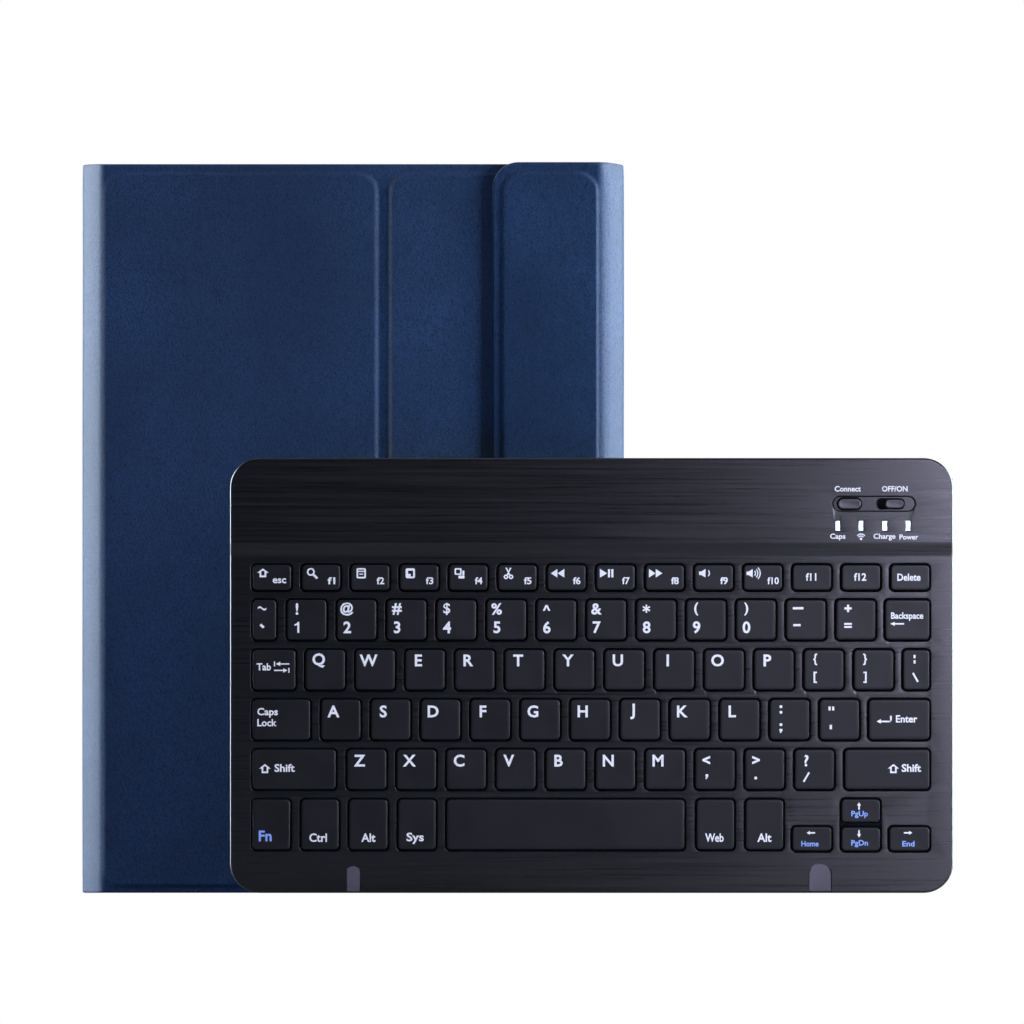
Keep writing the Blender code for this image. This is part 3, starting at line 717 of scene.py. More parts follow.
GROOVES = [(39.5, 44.6, 9.4, 2.2), (196.8, 204.8, 10.2, 3.4)]
GROOVE_SIDE = 0.35
PORT = (133.0, 141.4)


def groove_depth(v, top):
    """a scoop that deepens towards the lower edge"""
    return 0.30 + 0.85 * max(0.0, (top - v) / top)


def case_outline(d, seg=12):
    """the case's outline, d inside its edge, with the same points whatever d is"""
    pts = []
    bottom = sorted({KB_R, KB_W - KB_R, 60.0, 120.0, 180.0, 220.0} | {x for a, b, _, _ in GROOVES for x in (a, a + GROOVE_SIDE, (a + b) / 2, b - GROOVE_SIDE, b)})
    sides = sorted({RAMP_V - 0.6, RAMP_V, RAMP_V + 0.6, BAND_V - 0.6, BAND_V, BAND_V + 0.6, 40.0, 80.0} | {PORT[0] - 0.01, PORT[0], PORT[1], PORT[1] + 0.01, 137.2})
    side_in = [v for v in sides if KB_R < v < KB_H - KB_R]
    r = KB_R - d

    def corner(cx, cz, a0):
        for i in range(1, seg):
            a = math.radians(a0 + 90 * i / seg)
            pts.append((cx + r * math.cos(a), cz + r * math.sin(a)))

    pts += [(u, d) for u in bottom]
    corner(KB_W - KB_R, KB_R, -90)
    right = [KB_R] + side_in + ([KB_H - KB_R] if KB_H - KB_R not in side_in else [])
    pts += [(KB_W - d, v) for v in right]
    corner(KB_W - KB_R, KB_H - KB_R, 0)
    pts += [(u, KB_H - d) for u in (KB_W - KB_R, 180.0, 120.0, 60.0, KB_R)]
    corner(KB_R, KB_H - KB_R, 90)
    pts += [(d, v) for v in reversed(right)]
    corner(KB_R, KB_R, 180)
    return pts


def rest_level(v):
    """front face: key field, ramp, raised band"""
    soft = 0.6
    if v <= RAMP_V - soft:
        return FIELD
    if v >= BAND_V + soft:
        return 0.0
    slope = FIELD / (BAND_V - RAMP_V)
    if v < RAMP_V + soft:
        t = (v - RAMP_V + soft) / (2 * soft)
        return FIELD - slope * soft * t * t
    if v > BAND_V - soft:
        t = (BAND_V + soft - v) / (2 * soft)
        return slope * soft * t * t
    return FIELD - slope * (v - RAMP_V)


def case_level(u, v):
    for a, b, top, _ in GROOVES:
        if v < 2.0 and a + GROOVE_SIDE - 1e-6 <= u <= b - GROOVE_SIDE + 1e-6:
            return FIELD + groove_depth(v, top)
    return rest_level(v)


def ring(u0, u1, v0, v1, r, grow=0.0, seg=6):
    """rounded rectangle, anticlockwise, grown by a margin"""
    rr = max(r + grow, 0.05)
    return round_ring(u0 - grow, u1 + grow, v0 - grow, v1 + grow, rr, seg)


def inside(p, loop):
    x, y = p
    hit = False
    j = len(loop) - 1
    for i in range(len(loop)):
        xi, yi = loop[i][0], loop[i][1]
        xj, yj = loop[j][0], loop[j][1]
        if (yi > y) != (yj > y) and x < (xj - xi) * (y - yi) / (yj - yi) + xi:
            hit = not hit
        j = i
    return hit


def add_sheet(bm, outer, holes, lines=()):
    """triangulated face between an outer loop and its holes; every point is (u, v, w)"""
    coords, edges, depth = [], [], []
    for loop in [outer, *holes]:
        base, n = len(coords), len(loop)
        coords += [Vector((p[0], p[1])) for p in loop]
        depth += [p[2] for p in loop]
        edges += [(base + i, base + (i + 1) % n) for i in range(n)]
    for line in lines:
        base = len(coords)
        coords += [Vector((p[0], p[1])) for p in line]
        depth += [p[2] for p in line]
        edges += [(base + i, base + i + 1) for i in range(len(line) - 1)]
    out, _, tris, origin, _, _ = delaunay_2d_cdt(coords, edges, [], 0, 1e-5, True)
    verts = {}
    boxes = [(min(p[0] for p in h), max(p[0] for p in h), min(p[1] for p in h), max(p[1] for p in h), h) for h in holes]

    def vert(i):
        if i not in verts:
            w = depth[min(origin[i])] if origin[i] else rest_level(out[i].y)
            verts[i] = bm.verts.new(K(out[i].x, out[i].y, w))
        return verts[i]

    for tri in tris:
        c = sum((out[i] for i in tri), Vector((0, 0))) / 3
        if not inside(c, outer):
            continue
        if any(x0 < c.x < x1 and y0 < c.y < y1 and inside(c, h) for x0, x1, y0, y1, h in boxes):
            continue
        try:
            bm.faces.new([vert(i) for i in tri])
        except ValueError:
            pass


def add_wall(bm, a, b):
    """quads between two loops with the same number of (u, v, w) points"""
    va = [bm.verts.new(K(*p)) for p in a]
    vb = [bm.verts.new(K(*p)) for p in b]
    n = len(a)
    for i in range(n):
        j = (i + 1) % n
        bm.faces.new((va[i], va[j], vb[j], vb[i]))


def at(loop, w):
    return [(u, v, w) for u, v in loop]


CTRL_V = 132.4
SLOTS = [(206.4, 215.2, CTRL_V - 2.25, CTRL_V + 2.25, 2.2), (219.9, 229.7, CTRL_V - 2.0, CTRL_V + 2.0, 1.9)]
RECESS = (205.0, 233.3, CTRL_V - 2.65, CTRL_V + 2.65, 2.64)
LED_U, LED_V = (206.8, 214.7, 222.8, 230.7), 124.9


def top_case():
    bm = bmesh.new()
    key_holes = []
    for piece, u0, u1, v0, v1 in KEYS:
        if piece == "arrow_up_key":
            continue
        if piece == "arrow_down_key":
            v1 = 32.1
        key_holes.append((u0 - GAP, u1 + GAP, v0 - GAP, v1 + GAP, 1.95))
    windows = [(u - 1.05, u + 1.05, LED_V - 1.95, LED_V + 1.95, 0.35) for u in LED_U]
    front_holes, back_holes = [], []
    for hole, level, lip, seg in [(h, FIELD, 0.16, 6) for h in key_holes] + [(h, 0.0, 0.08, 4) for h in windows]:
        big, fine = ring(*hole, grow=lip, seg=seg), ring(*hole, seg=seg)
        mid = ring(*hole, grow=lip * 0.3, seg=seg)
        front_holes.append(at(big, level))
        add_wall(bm, at(big, level), at(mid, level + lip * 0.3))
        add_wall(bm, at(mid, level + lip * 0.3), at(fine, level + lip))
        add_wall(bm, at(fine, level + lip), at(fine, PLATE_IN))
        back_holes.append(at(fine, PLATE_IN))
    # control recess: softened rim, sloping wall, floor with two slots
    prev = None
    for grow, w in ((0.22, 0.0), (0.07, 0.05), (0.0, 0.22), (-0.30, 1.10), (-0.36, 1.20)):
        loop = at(ring(*RECESS, grow=grow, seg=12), w)
        if prev is None:
            front_holes.append(loop)
        else:
            add_wall(bm, prev, loop)
        prev = loop
    slot_loops = []
    for slot in SLOTS:
        big, fine = ring(*slot, grow=-0.02, seg=10), ring(*slot, grow=-0.10, seg=10)
        slot_loops.append(at(big, 1.20))
        add_wall(bm, at(big, 1.20), at(fine, 1.30))
        add_wall(bm, at(fine, 1.30), at(fine, PLATE_IN))
        back_holes.append(at(fine, PLATE_IN))
    add_sheet(bm, prev, slot_loops)
    # front face
    lines = [[(EDGE, v, rest_level(v)), (KB_W - EDGE, v, rest_level(v))]
             for v in (RAMP_V - 0.6, RAMP_V, RAMP_V + 0.6, BAND_V - 0.6, BAND_V, BAND_V + 0.6)]
    for a, b, top, r in GROOVES:
        arc = [(math.cos(math.radians(t)), math.sin(math.radians(t))) for t in range(180, -1, -15)]
        outer_r = (b - a) / 2
        inner_r = outer_r - GROOVE_SIDE
        cu = (a + b) / 2
        cv = top - outer_r
        lines.append([(a, EDGE, FIELD)] + [(cu + outer_r * c, cv + outer_r * s, FIELD) for c, s in arc] + [(b, EDGE, FIELD)])
        lines.append([(a + GROOVE_SIDE, EDGE, FIELD + groove_depth(EDGE, top))]
                     + [(cu + inner_r * c, cv + inner_r * s, FIELD + groove_depth(cv + inner_r * s, top)) for c, s in arc]
                     + [(b - GROOVE_SIDE, EDGE, FIELD + groove_depth(EDGE, top))])
        lines.append([(cu, EDGE, FIELD + groove_depth(EDGE, top)), (cu, cv, FIELD + groove_depth(cv, top))])
    rim = [(u, v, case_level(u, v)) for u, v in case_outline(EDGE)]
    add_sheet(bm, rim, front_holes, lines)
    # rounded edge, side wall, rim, inner wall, inner face
    prev = rim
    for a in range(15, 91, 15):
        s, c = math.sin(math.radians(a)), math.cos(math.radians(a))
        loop = []
        for (u, v), (_, _, w) in zip(case_outline(EDGE * (1 - s)), rim):
            loop.append((u, v, w + EDGE * (1 - c)))
        add_wall(bm, prev, loop)
        prev = loop

    def rim_level(u, v, w):
        return min(w, 2.3) if u > KB_W - 2 and PORT[0] - 1e-6 <= v <= PORT[1] + 1e-6 else w

    for d, w in ((0.0, RIM_W - 0.15), (0.15, RIM_W), (WALL, RIM_W), (WALL, PLATE_IN)):
        loop = [(u, v, rim_level(u, v, w)) for u, v in case_outline(d)]
        add_wall(bm, prev, loop)
        prev = loop
    add_sheet(bm, prev, back_holes)
    case = finish_mesh("keyboard_case_front", bm, [BRUSHED], weld=2e-6, sharp=32)
    flat_uv(case)
    return case


def flat_uv(obj):
    """UV in metres along and up the keyboard"""
    layer = obj.data.uv_layers.new(name="UVMap") if not obj.data.uv_layers else obj.data.uv_layers[0]
    for loop in obj.data.loops:
        co = obj.data.vertices[loop.vertex_index].co
        layer.data[loop.index].uv = (co.x - KX + (co.y - KY) * 0.3, co.z + (co.y - KY) * 0.7)


case = top_case()
case.data.materials.append(SCOOP_PAINTED_HIGHLIGHT)
# faces on the groove floors take the second slot, the painted highlight of the scoops
for face in case.data.polygons:
    u, w, v = (face.center.x - KX) / MM, (face.center.y - KY) / MM, face.center.z / MM
    if v < 10.3 and FIELD + 0.12 < w < 2.0 and any(a < u < b for a, b, _, _ in GROOVES) and face.normal.y < -0.6:
        face.material_index = 1
even_normals(case)
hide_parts("keyboard_top_case")
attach(case, "keyboard")


def bottom_case():
    """back shell with softened edges and two recesses for the feet"""
    bm = bmesh.new()
    w0, w1 = 5.0, 6.2
    feet = [(18.0, 228.0, 134.0, 139.0, 2.0), (18.0, 228.0, 7.0, 12.0, 2.0)]
    profile = [(0.12, w0), (0.0, w0 + 0.12)] + [(0.75 * (1 - math.cos(math.radians(a))), w1 - 0.75 * (1 - math.sin(math.radians(a)))) for a in range(0, 91, 15)]
    prev = at(case_outline(0.12), w0)
    add_sheet(bm, prev, [])
    for d, w in profile[1:]:
        loop = at(case_outline(d), w)
        add_wall(bm, prev, loop)
        prev = loop
    holes = []
    for foot in feet:
        a, b = at(ring(*foot, grow=0.12), w1), at(ring(*foot), w1 - 0.12)
        c = at(ring(*foot), w1 - 0.6)
        holes.append(a)
        add_wall(bm, a, b)
        add_wall(bm, b, c)
        add_sheet(bm, c, [])
    # screw bosses hidden under round plugs
    for u, v in ((12.0, 74.0), (123.0, 74.0), (234.0, 74.0), (60.0, 122.0), (186.0, 122.0), (60.0, 24.0), (186.0, 24.0)):
        dot = [(u + 2.1 * math.cos(t * math.pi / 12), v + 2.1 * math.sin(t * math.pi / 12)) for t in range(24)]
        small = [(u + 1.95 * math.cos(t * math.pi / 12), v + 1.95 * math.sin(t * math.pi / 12)) for t in range(24)]
        tiny = [(u + 1.8 * math.cos(t * math.pi / 12), v + 1.8 * math.sin(t * math.pi / 12)) for t in range(24)]
        holes.append(at(dot, w1))
        add_wall(bm, at(dot, w1), at(small, w1 - 0.22))
        add_wall(bm, at(small, w1 - 0.22), at(tiny, w1 - 0.10))
        add_sheet(bm, at(tiny, w1 - 0.10), [])
    add_sheet(bm, prev, holes)
    back = finish_mesh("keyboard_case_back", bm, [CASE_BACK], weld=2e-6, sharp=32)
    flat_uv(back)
    return back


back_case = bottom_case()
even_normals(back_case)
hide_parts("keyboard_bottom_case")
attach(back_case, "keyboard")


def add_cap(bm, u0, u1, v0, v1, top=-0.08, base=2.9, r=1.5, fillet=0.38, draft=0.26, dish=0.035, seg=6):
    """one keycap: drafted sides, rounded shoulder, faintly dished top"""
    rings = [(0.0, base), (draft, top + fillet)]
    for a in range(18, 91, 18):
        s, c = math.sin(math.radians(a)), math.cos(math.radians(a))
        rings.append((draft + fillet * (1 - c), top + fillet * (1 - s)))
    edge = rings[-1][0]
    half = min(u1 - u0, v1 - v0) / 2
    for k in (0.12, 0.3, 0.55, 0.8):
        inset = edge + (half - edge) * k
        rings.append((inset, top + dish * (1 - (1 - k) ** 2)))
    prev = None
    for inset, w in rings:
        rr = max(r - inset * 0.75, 0.35)
        loop = [bm.verts.new(K(u, v, w)) for u, v in round_ring(u0 + inset, u1 - inset, v0 + inset, v1 - inset, rr, seg)]
        if prev is None:
            bm.faces.new(loop[::-1])
        else:
            n = len(loop)
            for i in range(n):
                j = (i + 1) % n
                bm.faces.new((prev[i], prev[j], loop[j], loop[i]))
        prev = loop
    bm.faces.new(prev)


pieces = {}
for key in KEYS:
    pieces.setdefault(key[0], []).append(key[1:])
for piece, caps in pieces.items():
    bm = bmesh.new()
    for cap in caps:
        add_cap(bm, *cap)
    obj = finish_mesh("caps_" + piece, bm, [KEYCAP], weld=0, sharp=50)
    flat_uv(obj)
    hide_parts(piece)
    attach(obj, piece)


# ---------------------------------------------------------------- controls
def stud(name, u0, u1, v0, v1, r, w0, w1, grip=False):
    """pill-shaped control with a rounded crown; a slider also has grip grooves"""
    bm = bmesh.new()
    prof = [(0.0, w1), (0.0, w0 + 0.42)] + [(0.42 * (1 - math.cos(math.radians(a))), w0 + 0.42 * (1 - math.sin(math.radians(a)))) for a in range(15, 91, 15)]
    prof += [(0.75, w0 + 0.015), (1.15, w0 + 0.05)]
    prev = None
    for inset, w in prof:
        loop = [bm.verts.new(K(u, v, w)) for u, v in round_ring(u0 + inset, u1 - inset, v0 + inset, v1 - inset, max(r - inset, 0.3), 10)]
        if prev is None:
            bm.faces.new(loop[::-1])
        else:
            n = len(loop)
            for i in range(n):
                j = (i + 1) % n
                bm.faces.new((prev[i], prev[j], loop[j], loop[i]))
        prev = loop
    bm.faces.new(prev)
    obj = finish_mesh(name, bm, [CONTROL], weld=0, sharp=50)
    if grip:
        bm = bmesh.new()
        cu = (u0 + u1) / 2
        for du in (-0.9, 0.0, 0.9):
            a, b = cu + du - 0.17, cu + du + 0.17
            lo = [bm.verts.new(K(u, v, w0 - 0.25)) for u, v in ((a, v0 + 0.75), (b, v0 + 0.75), (b, v1 - 0.75), (a, v1 - 0.75))]
            hi = [bm.verts.new(K(u, v, w0 + 0.22)) for u, v in ((a + 0.05, v0 + 0.8), (b - 0.05, v0 + 0.8), (b - 0.05, v1 - 0.8), (a + 0.05, v1 - 0.8))]
            bm.faces.new(lo)
            bm.faces.new(hi[::-1])
            for i in range(4):
                j = (i + 1) % 4
                bm.faces.new((lo[j], lo[i], hi[i], hi[j]))
        cutter = finish_mesh("grip_cutter", bm, [CONTROL], weld=0)
        mod = obj.modifiers.new("grip", "BOOLEAN")
        mod.operation, mod.object, mod.solver = "DIFFERENCE", cutter, "EXACT"
        dg = bpy.context.evaluated_depsgraph_get()
        cutmesh = bpy.data.meshes.new_from_object(obj.evaluated_get(dg))
        obj.modifiers.clear()
        obj.data = cutmesh
        cutmesh.set_sharp_from_angle(angle=math.radians(35))
        bpy.data.objects.remove(cutter, do_unlink=True)
    return obj


button = stud("connect_button_cap", 206.8, 214.8, CTRL_V - 1.85, CTRL_V + 1.85, 1.82, 0.35, 3.0)
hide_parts("connect_button")
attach(button, "connect_button")
knob = stud("power_switch_slider", 222.9, 229.3, CTRL_V - 1.6, CTRL_V + 1.6, 1.55, 0.35, 2.9, grip=True)
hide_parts("power_switch_knob")
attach(knob, "power_switch_knob")

# ================================================================ legends
INK_TOP, INK_ROOT = -0.095, 0.0           # on a keycap
marks = []                                # (body, ink, kind, data, u, v, cap height, width, w top, w root)


def text(body, words, u, v, cap, width=None, ink="white", bold=0.018, on_band=False):
    marks.append((body, ink, "text", (words, bold), u, v, cap, width, on_band))


def icon(body, loops, u, v, ink="white", on_band=False):
    """closed outlines in millimetres round (u, v); a loop inside another is a hole"""
    marks.append((body, ink, "icon", loops, u, v, None, None, on_band))


def circle(cx, cy, r, n=20, a0=0.0, a1=360.0):
    return [(cx + r * math.cos(math.radians(a0 + (a1 - a0) * i / n)), cy + r * math.sin(math.radians(a0 + (a1 - a0) * i / n))) for i in range(n if a1 - a0 == 360 else n + 1)]


def bar(x0, y0, x1, y1, t):
    """straight stroke of thickness t"""
    d = Vector((x1 - x0, y1 - y0)).normalized()
    n = Vector((-d.y, d.x)) * t / 2
    return [(x0 + n.x, y0 + n.y), (x0 - n.x, y0 - n.y), (x1 - n.x, y1 - n.y), (x1 + n.x, y1 + n.y)]


def band_arc(cx, cy, r, t, a0, a1, n=10):
    return circle(cx, cy, r + t / 2, n, a0, a1) + circle(cx, cy, r - t / 2, n, a1, a0)


def block(x0, y0, x1, y1, r=0.3):
    return round_ring(x0, x1, y0, y1, r, 3)


def arrow(length, shaft, head_w, head_l, turn=0.0):
    """solid arrow pointing along +x, centred"""
    h = length / 2
    pts = [(-h, -shaft / 2), (h - head_l, -shaft / 2), (h - head_l, -head_w / 2), (h, 0), (h - head_l, head_w / 2), (h - head_l, shaft / 2), (-h, shaft / 2)]
    c, s = math.cos(math.radians(turn)), math.sin(math.radians(turn))
    return [(x * c - y * s, x * s + y * c) for x, y in pts]


def hollow_up(w, h, t):
    """hollow upward arrow or house outline"""
    outer = [(-w / 2, 0), (0, h / 2), (w / 2, 0), (w / 4 + t * 0.25, 0), (w / 4 + t * 0.25, -h / 2), (-w / 4 - t * 0.25, -h / 2), (-w / 4 - t * 0.25, 0)]
    k = w / 4 - t * 0.75
    hole = [(-w / 2 + t * 2.0, t * 0.9), (0, h / 2 - t * 1.35), (w / 2 - t * 2.0, t * 0.9), (k, t * 0.9), (k, -h / 2 + t), (-k, -h / 2 + t), (-k, t * 0.9)]
    return [outer, hole]


# first row
K_OF = {p: c for p, c in pieces.items()}
icon("esc_key", hollow_up(4.0, 3.0, 0.62), 11.2, 108.9)
text("esc_key", "esc", 16.8, 106.2, 2.25, 4.6, bold=0.024)
FN = [24.2 + 16.70 * i for i in range(12)]
top_icons = [
    [circle(-0.45, 0.45, 1.35), circle(-0.45, 0.45, 0.80), bar(0.45, -0.45, 1.75, -1.75, 0.75)],
    [block(-1.6, -1.75, 1.6, 1.75, 0.5), block(-1.05, -1.2, 1.05, 0.45, 0.15), block(-1.05, 0.85, 1.05, 1.25, 0.1), block(-0.65, -0.5, 0.65, -0.1, 0.05)],
    [block(-1.6, -1.7, 1.6, 1.7, 0.6), block(-0.75, -1.1, 0.95, 0.9, 0.2), block(-0.75, -1.1, 0.15, -0.2, 0.1)],
    [block(-1.65, -0.55, 0.75, 1.75, 0.4), block(-1.15, -0.05, 0.25, 1.25, 0.15), block(-0.35, -1.8, 1.75, -0.75, 0.3), block(1.0, -0.65, 1.7, 0.9, 0.2)],
    [circle(-0.85, -1.2, 0.80, 16), circle(-0.85, -1.2, 0.34, 12), circle(0.85, -1.2, 0.80, 16), circle(0.85, -1.2, 0.34, 12),
     [(-0.62, -0.42), (-0.1, -0.62), (0.0, -0.3), (0.1, -0.62), (0.62, -0.42), (0.22, 0.25), (1.05, 1.9), (0.5, 1.9), (0.0, 0.75), (-0.5, 1.9), (-1.05, 1.9), (-0.22, 0.25)]],
    [[(-2.3, 0), (-0.05, 1.45), (-0.05, -1.45)], [(0.0, 0), (2.3, 1.45), (2.3, -1.45)]],
    [[(-2.3, 1.5), (-2.3, -1.5), (0.15, 0)], block(0.45, -1.4, 1.15, 1.4, 0.08), block(1.6, -1.4, 2.3, 1.4, 0.08)],
    [[(-2.3, 1.45), (-2.3, -1.45), (-0.05, 0)], [(0.0, 1.45), (0.0, -1.45), (2.3, 0)]],
    [[(-1.95, 0.6), (-1.95, -0.6), (-1.25, -0.6), (0.25, -1.45), (0.25, 1.45), (-1.25, 0.6)], band_arc(0.1, 0, 1.45, 0.42, -42, 42, 8)],
    [[(-2.5, 0.6), (-2.5, -0.6), (-1.8, -0.6), (-0.4, -1.45), (-0.4, 1.45), (-1.8, 0.6)], band_arc(-0.6, 0, 1.15, 0.36, -44, 44, 8), band_arc(-0.6, 0, 1.95, 0.36, -44, 44, 8), band_arc(-0.6, 0, 2.75, 0.36, -44, 44, 8)],
]
for i in range(10):
    icon("function_row_keys", top_icons[i], FN[i] + 3.75, 108.75)
    text("function_row_keys", f"f{i + 1}", FN[i] + 10.3, 106.2, 2.2, 2.6 if i < 9 else 3.9, bold=0.024)
text("function_row_keys", "f11", FN[10] + 6.5, 107.5, 2.4, 3.6, bold=0.024)
text("function_row_keys", "f12", FN[11] + 6.5, 107.5, 2.4, 4.2, bold=0.024)
text("delete_key", "Delete", 231.0, 107.4, 2.3, 7.9, bold=0.024)

# number row
icon("number_row_keys", [[(x, 0.30 - 0.45 * math.sin(x * 2.1)) for x in (-1.45, -1.1, -0.75, -0.4, 0, 0.4, 0.75, 1.1, 1.45)]
                         + [(x, -0.30 - 0.45 * math.sin(x * 2.1)) for x in (1.45, 1.1, 0.75, 0.4, 0, -0.4, -0.75, -1.1, -1.45)]], 10.9, 96.8)
icon("number_row_keys", [bar(-0.55, 0.55, 0.55, -0.55, 0.85)], 10.9, 90.8)
NUM = [19.2 + 16.98 * i for i in range(12)]
for i, (upper, lower) in enumerate(zip("!@#$%^&*()", "1234567890")):
    if upper == "*":
        star = []
        for k in range(6):
            a = math.radians(30 + 60 * k)
            star += [(1.4 * math.cos(a - 0.2), 1.4 * math.sin(a - 0.2)), (1.4 * math.cos(a + 0.2), 1.4 * math.sin(a + 0.2)),
                     (0.5 * math.cos(a + 0.5236), 0.5 * math.sin(a + 0.5236))]
        icon("number_row_keys", [star], NUM[i] + 3.6, 96.7)
    elif upper == "$":
        text("number_row_keys", upper, NUM[i] + 3.6, 96.6, 3.4, bold=0.012)
    elif upper == "^":
        icon("number_row_keys", [[(-1.3, -0.95), (-0.6, -0.95), (0, 0.25), (0.6, -0.95), (1.3, -0.95), (0.35, 1.05), (-0.35, 1.05)]], NUM[i] + 3.6, 96.9)
    else:
        text("number_row_keys", upper, NUM[i] + 3.6, 96.6, 3.1 if upper in "@()" else 3.6, bold=0.026)
    if lower == "1":
        icon("number_row_keys", [[(0.1, -1.85), (0.78, -1.85), (0.78, 1.85), (0.25, 1.85), (-0.15, 1.3), (-0.85, 1.02), (-0.85, 0.5), (0.1, 0.78)]], NUM[i] + 3.6, 90.35)
    else:
        text("number_row_keys", lower, NUM[i] + 3.7, 90.35, 3.7, bold=0.026)
icon("number_row_keys", [bar(-1.8, 0, 1.8, 0, 0.78)], NUM[10] + 4.3, 96.85)
icon("number_row_keys", [bar(-1.25, 0, 1.25, 0, 0.78)], NUM[10] + 3.9, 91.1)
icon("number_row_keys", [[(-1.25, 0.36), (-1.25, -0.36), (-0.36, -0.36), (-0.36, -1.25), (0.36, -1.25), (0.36, -0.36),
                          (1.25, -0.36), (1.25, 0.36), (0.36, 0.36), (0.36, 1.25), (-0.36, 1.25), (-0.36, 0.36)]], NUM[11] + 4.3, 96.8)
icon("number_row_keys", [bar(-1.3, 0.52, 1.3, 0.52, 0.62), bar(-1.3, -0.52, 1.3, -0.52, 0.62)], NUM[11] + 4.3, 91.0)
text("backspace_key", "Backspace", 230.4, 94.0, 2.05, 11.0, bold=0.024)
icon("backspace_key", [arrow(4.7, 0.5, 1.35, 1.5, 180)], 227.0, 91.55)

# upper letters
UP = [25.5 + 16.96 * i for i in range(12)]
text("tab_key", "Tab", 11.5, 76.9, 2.3, 4.9, bold=0.024)
icon("tab_key", [arrow(4.6, 0.42, 1.5, 1.5, 180), bar(-2.75, -0.85, -2.75, 0.85, 0.42)], 17.9, 77.9)
icon("tab_key", [arrow(4.6, 0.42, 1.5, 1.5), bar(2.75, -0.85, 2.75, 0.85, 0.42)], 17.3, 75.7)
for i, c in enumerate("QWERTYUIOP"):
    text("upper_letter_keys", c, UP[i] + 4.7, 79.1, 3.75, bold=0.026)
for i, (a, b) in enumerate((("{", "["), ("}", "]"))):
    text("upper_letter_keys", a, UP[10 + i] + 4.0, 79.45, 2.75, bold=0.024)
    text("upper_letter_keys", b, UP[10 + i] + 4.0, 73.35, 2.75, bold=0.024)
icon("upper_letter_keys", [bar(0, 0.35, 0, 1.45, 0.66), bar(0, -1.45, 0, -0.35, 0.66)], 228.8 + 4.1, 79.5)
icon("upper_letter_keys", [bar(-0.85, 1.5, 0.85, -1.5, 0.62)], 228.8 + 4.4, 73.3)

# home letters
HOME = [30.8 + 16.96 * i for i in range(11)]
text("caps_lock_key", "Caps", 12.8, 61.3, 2.3, 7.0, bold=0.024)
text("caps_lock_key", "Lock", 12.6, 57.9, 2.3, 6.6, bold=0.024)
for i, c in enumerate("ASDFGHJKL"):
    text("home_letter_keys", c, HOME[i] + 4.4, 61.75, 3.75, bold=0.026)
icon("home_letter_keys", [circle(0, 0.95, 0.52, 14), circle(0, -0.95, 0.52, 14)], HOME[9] + 4.0, 62.4)
icon("home_letter_keys", [circle(0, 0.95, 0.52, 14), [(-0.5, -0.5), (0.5, -0.5), (0.5, -1.1), (-0.05, -1.95), (-0.45, -1.7), (0.0, -1.35), (-0.5, -1.35)]], HOME[9] + 4.0, 56.3)
icon("home_letter_keys", [bar(-0.62, 0.72, -0.62, -0.62, 0.72), bar(0.62, 0.72, 0.62, -0.62, 0.72)], HOME[10] + 4.2, 62.7)
icon("home_letter_keys", [bar(0, 0.8, 0, -0.72, 0.78)], HOME[10] + 4.0, 56.4)
icon("enter_key", [[(-2.6, -0.55), (-1.15, -1.35), (-1.15, -0.85), (1.95, -0.85), (1.95, 1.35), (2.55, 1.35), (2.55, -0.3), (-1.15, -0.3), (-1.15, 0.25)]], 222.6, 58.9)
text("enter_key", "Enter", 230.2, 59.2, 2.3, 7.3, bold=0.024)

# lower letters
LOW = [39.6 + 16.92 * i for i in range(10)]
icon("left_shift_key", hollow_up(3.9, 3.1, 0.56), 11.9, 42.3)
text("left_shift_key", "Shift", 18.6, 42.5, 2.45, 6.9, bold=0.024)
for i, c in enumerate("ZXCVBNM"):
    text("lower_letter_keys", c, LOW[i] + 4.5, 45.0, 3.75, bold=0.026)
text("lower_letter_keys", "<", LOW[7] + 4.0, 45.2, 3.3, bold=0.035)
icon("lower_letter_keys", [[(-0.35, 0.75), (0.55, 0.75), (0.55, 0.05), (-0.05, -0.95), (-0.5, -0.65), (0.0, -0.1), (-0.35, -0.1)]], LOW[7] + 4.1, 39.6)
text("lower_letter_keys", ">", LOW[8] + 4.0, 45.2, 3.3, bold=0.035)
icon("lower_letter_keys", [circle(0, 0, 0.52, 14)], LOW[8] + 3.9, 39.1)
text("lower_letter_keys", "?", LOW[9] + 4.2, 45.0, 3.6, bold=0.026)
icon("lower_letter_keys", [bar(0.95, 1.6, -0.95, -1.6, 0.6)], LOW[9] + 4.2, 39.4)
icon("right_shift_key", hollow_up(3.9, 3.1, 0.56), 225.7, 42.3)
text("right_shift_key", "Shift", 231.8, 42.5, 2.45, 6.6, bold=0.024)

# bottom row
text("fn_key", "Fn", 12.0, 19.4, 3.4, ink="blue", bold=0.026)
text("ctrl_key", "Ctrl", 30.0, 18.8, 2.7, 6.0, bold=0.024)
text("left_alt_key", "Alt", 47.1, 18.8, 2.7, 4.8, bold=0.024)
text("system_key", "Sys", 63.0, 18.6, 2.7, 5.9, bold=0.024)
text("browser_key", "Web", 164.8, 18.8, 2.7, 6.3, bold=0.024)
text("right_alt_key", "Alt", 181.8, 18.8, 2.7, 4.8, bold=0.024)
for key, label, u, v, width, turn, au, av in (
        ("arrow_left_key", "Home", 197.3, 16.75, 5.9, 180, 197.6, 20.45), ("arrow_up_key", "PgUp", 214.2, 26.7, 5.7, 90, 214.0, 29.6),
        ("arrow_down_key", "PgDn", 214.2, 16.75, 5.7, -90, 214.0, 20.1), ("arrow_right_key", "End", 230.8, 16.75, 4.2, 0, 230.7, 20.45)):
    text(key, label, u, v, 1.75, width, ink="blue", bold=0.024)
    size = 2.9 if turn in (0, 180) else 2.5
    icon(key, [arrow(size, 0.5, 1.35, 1.15, turn)], au, av)

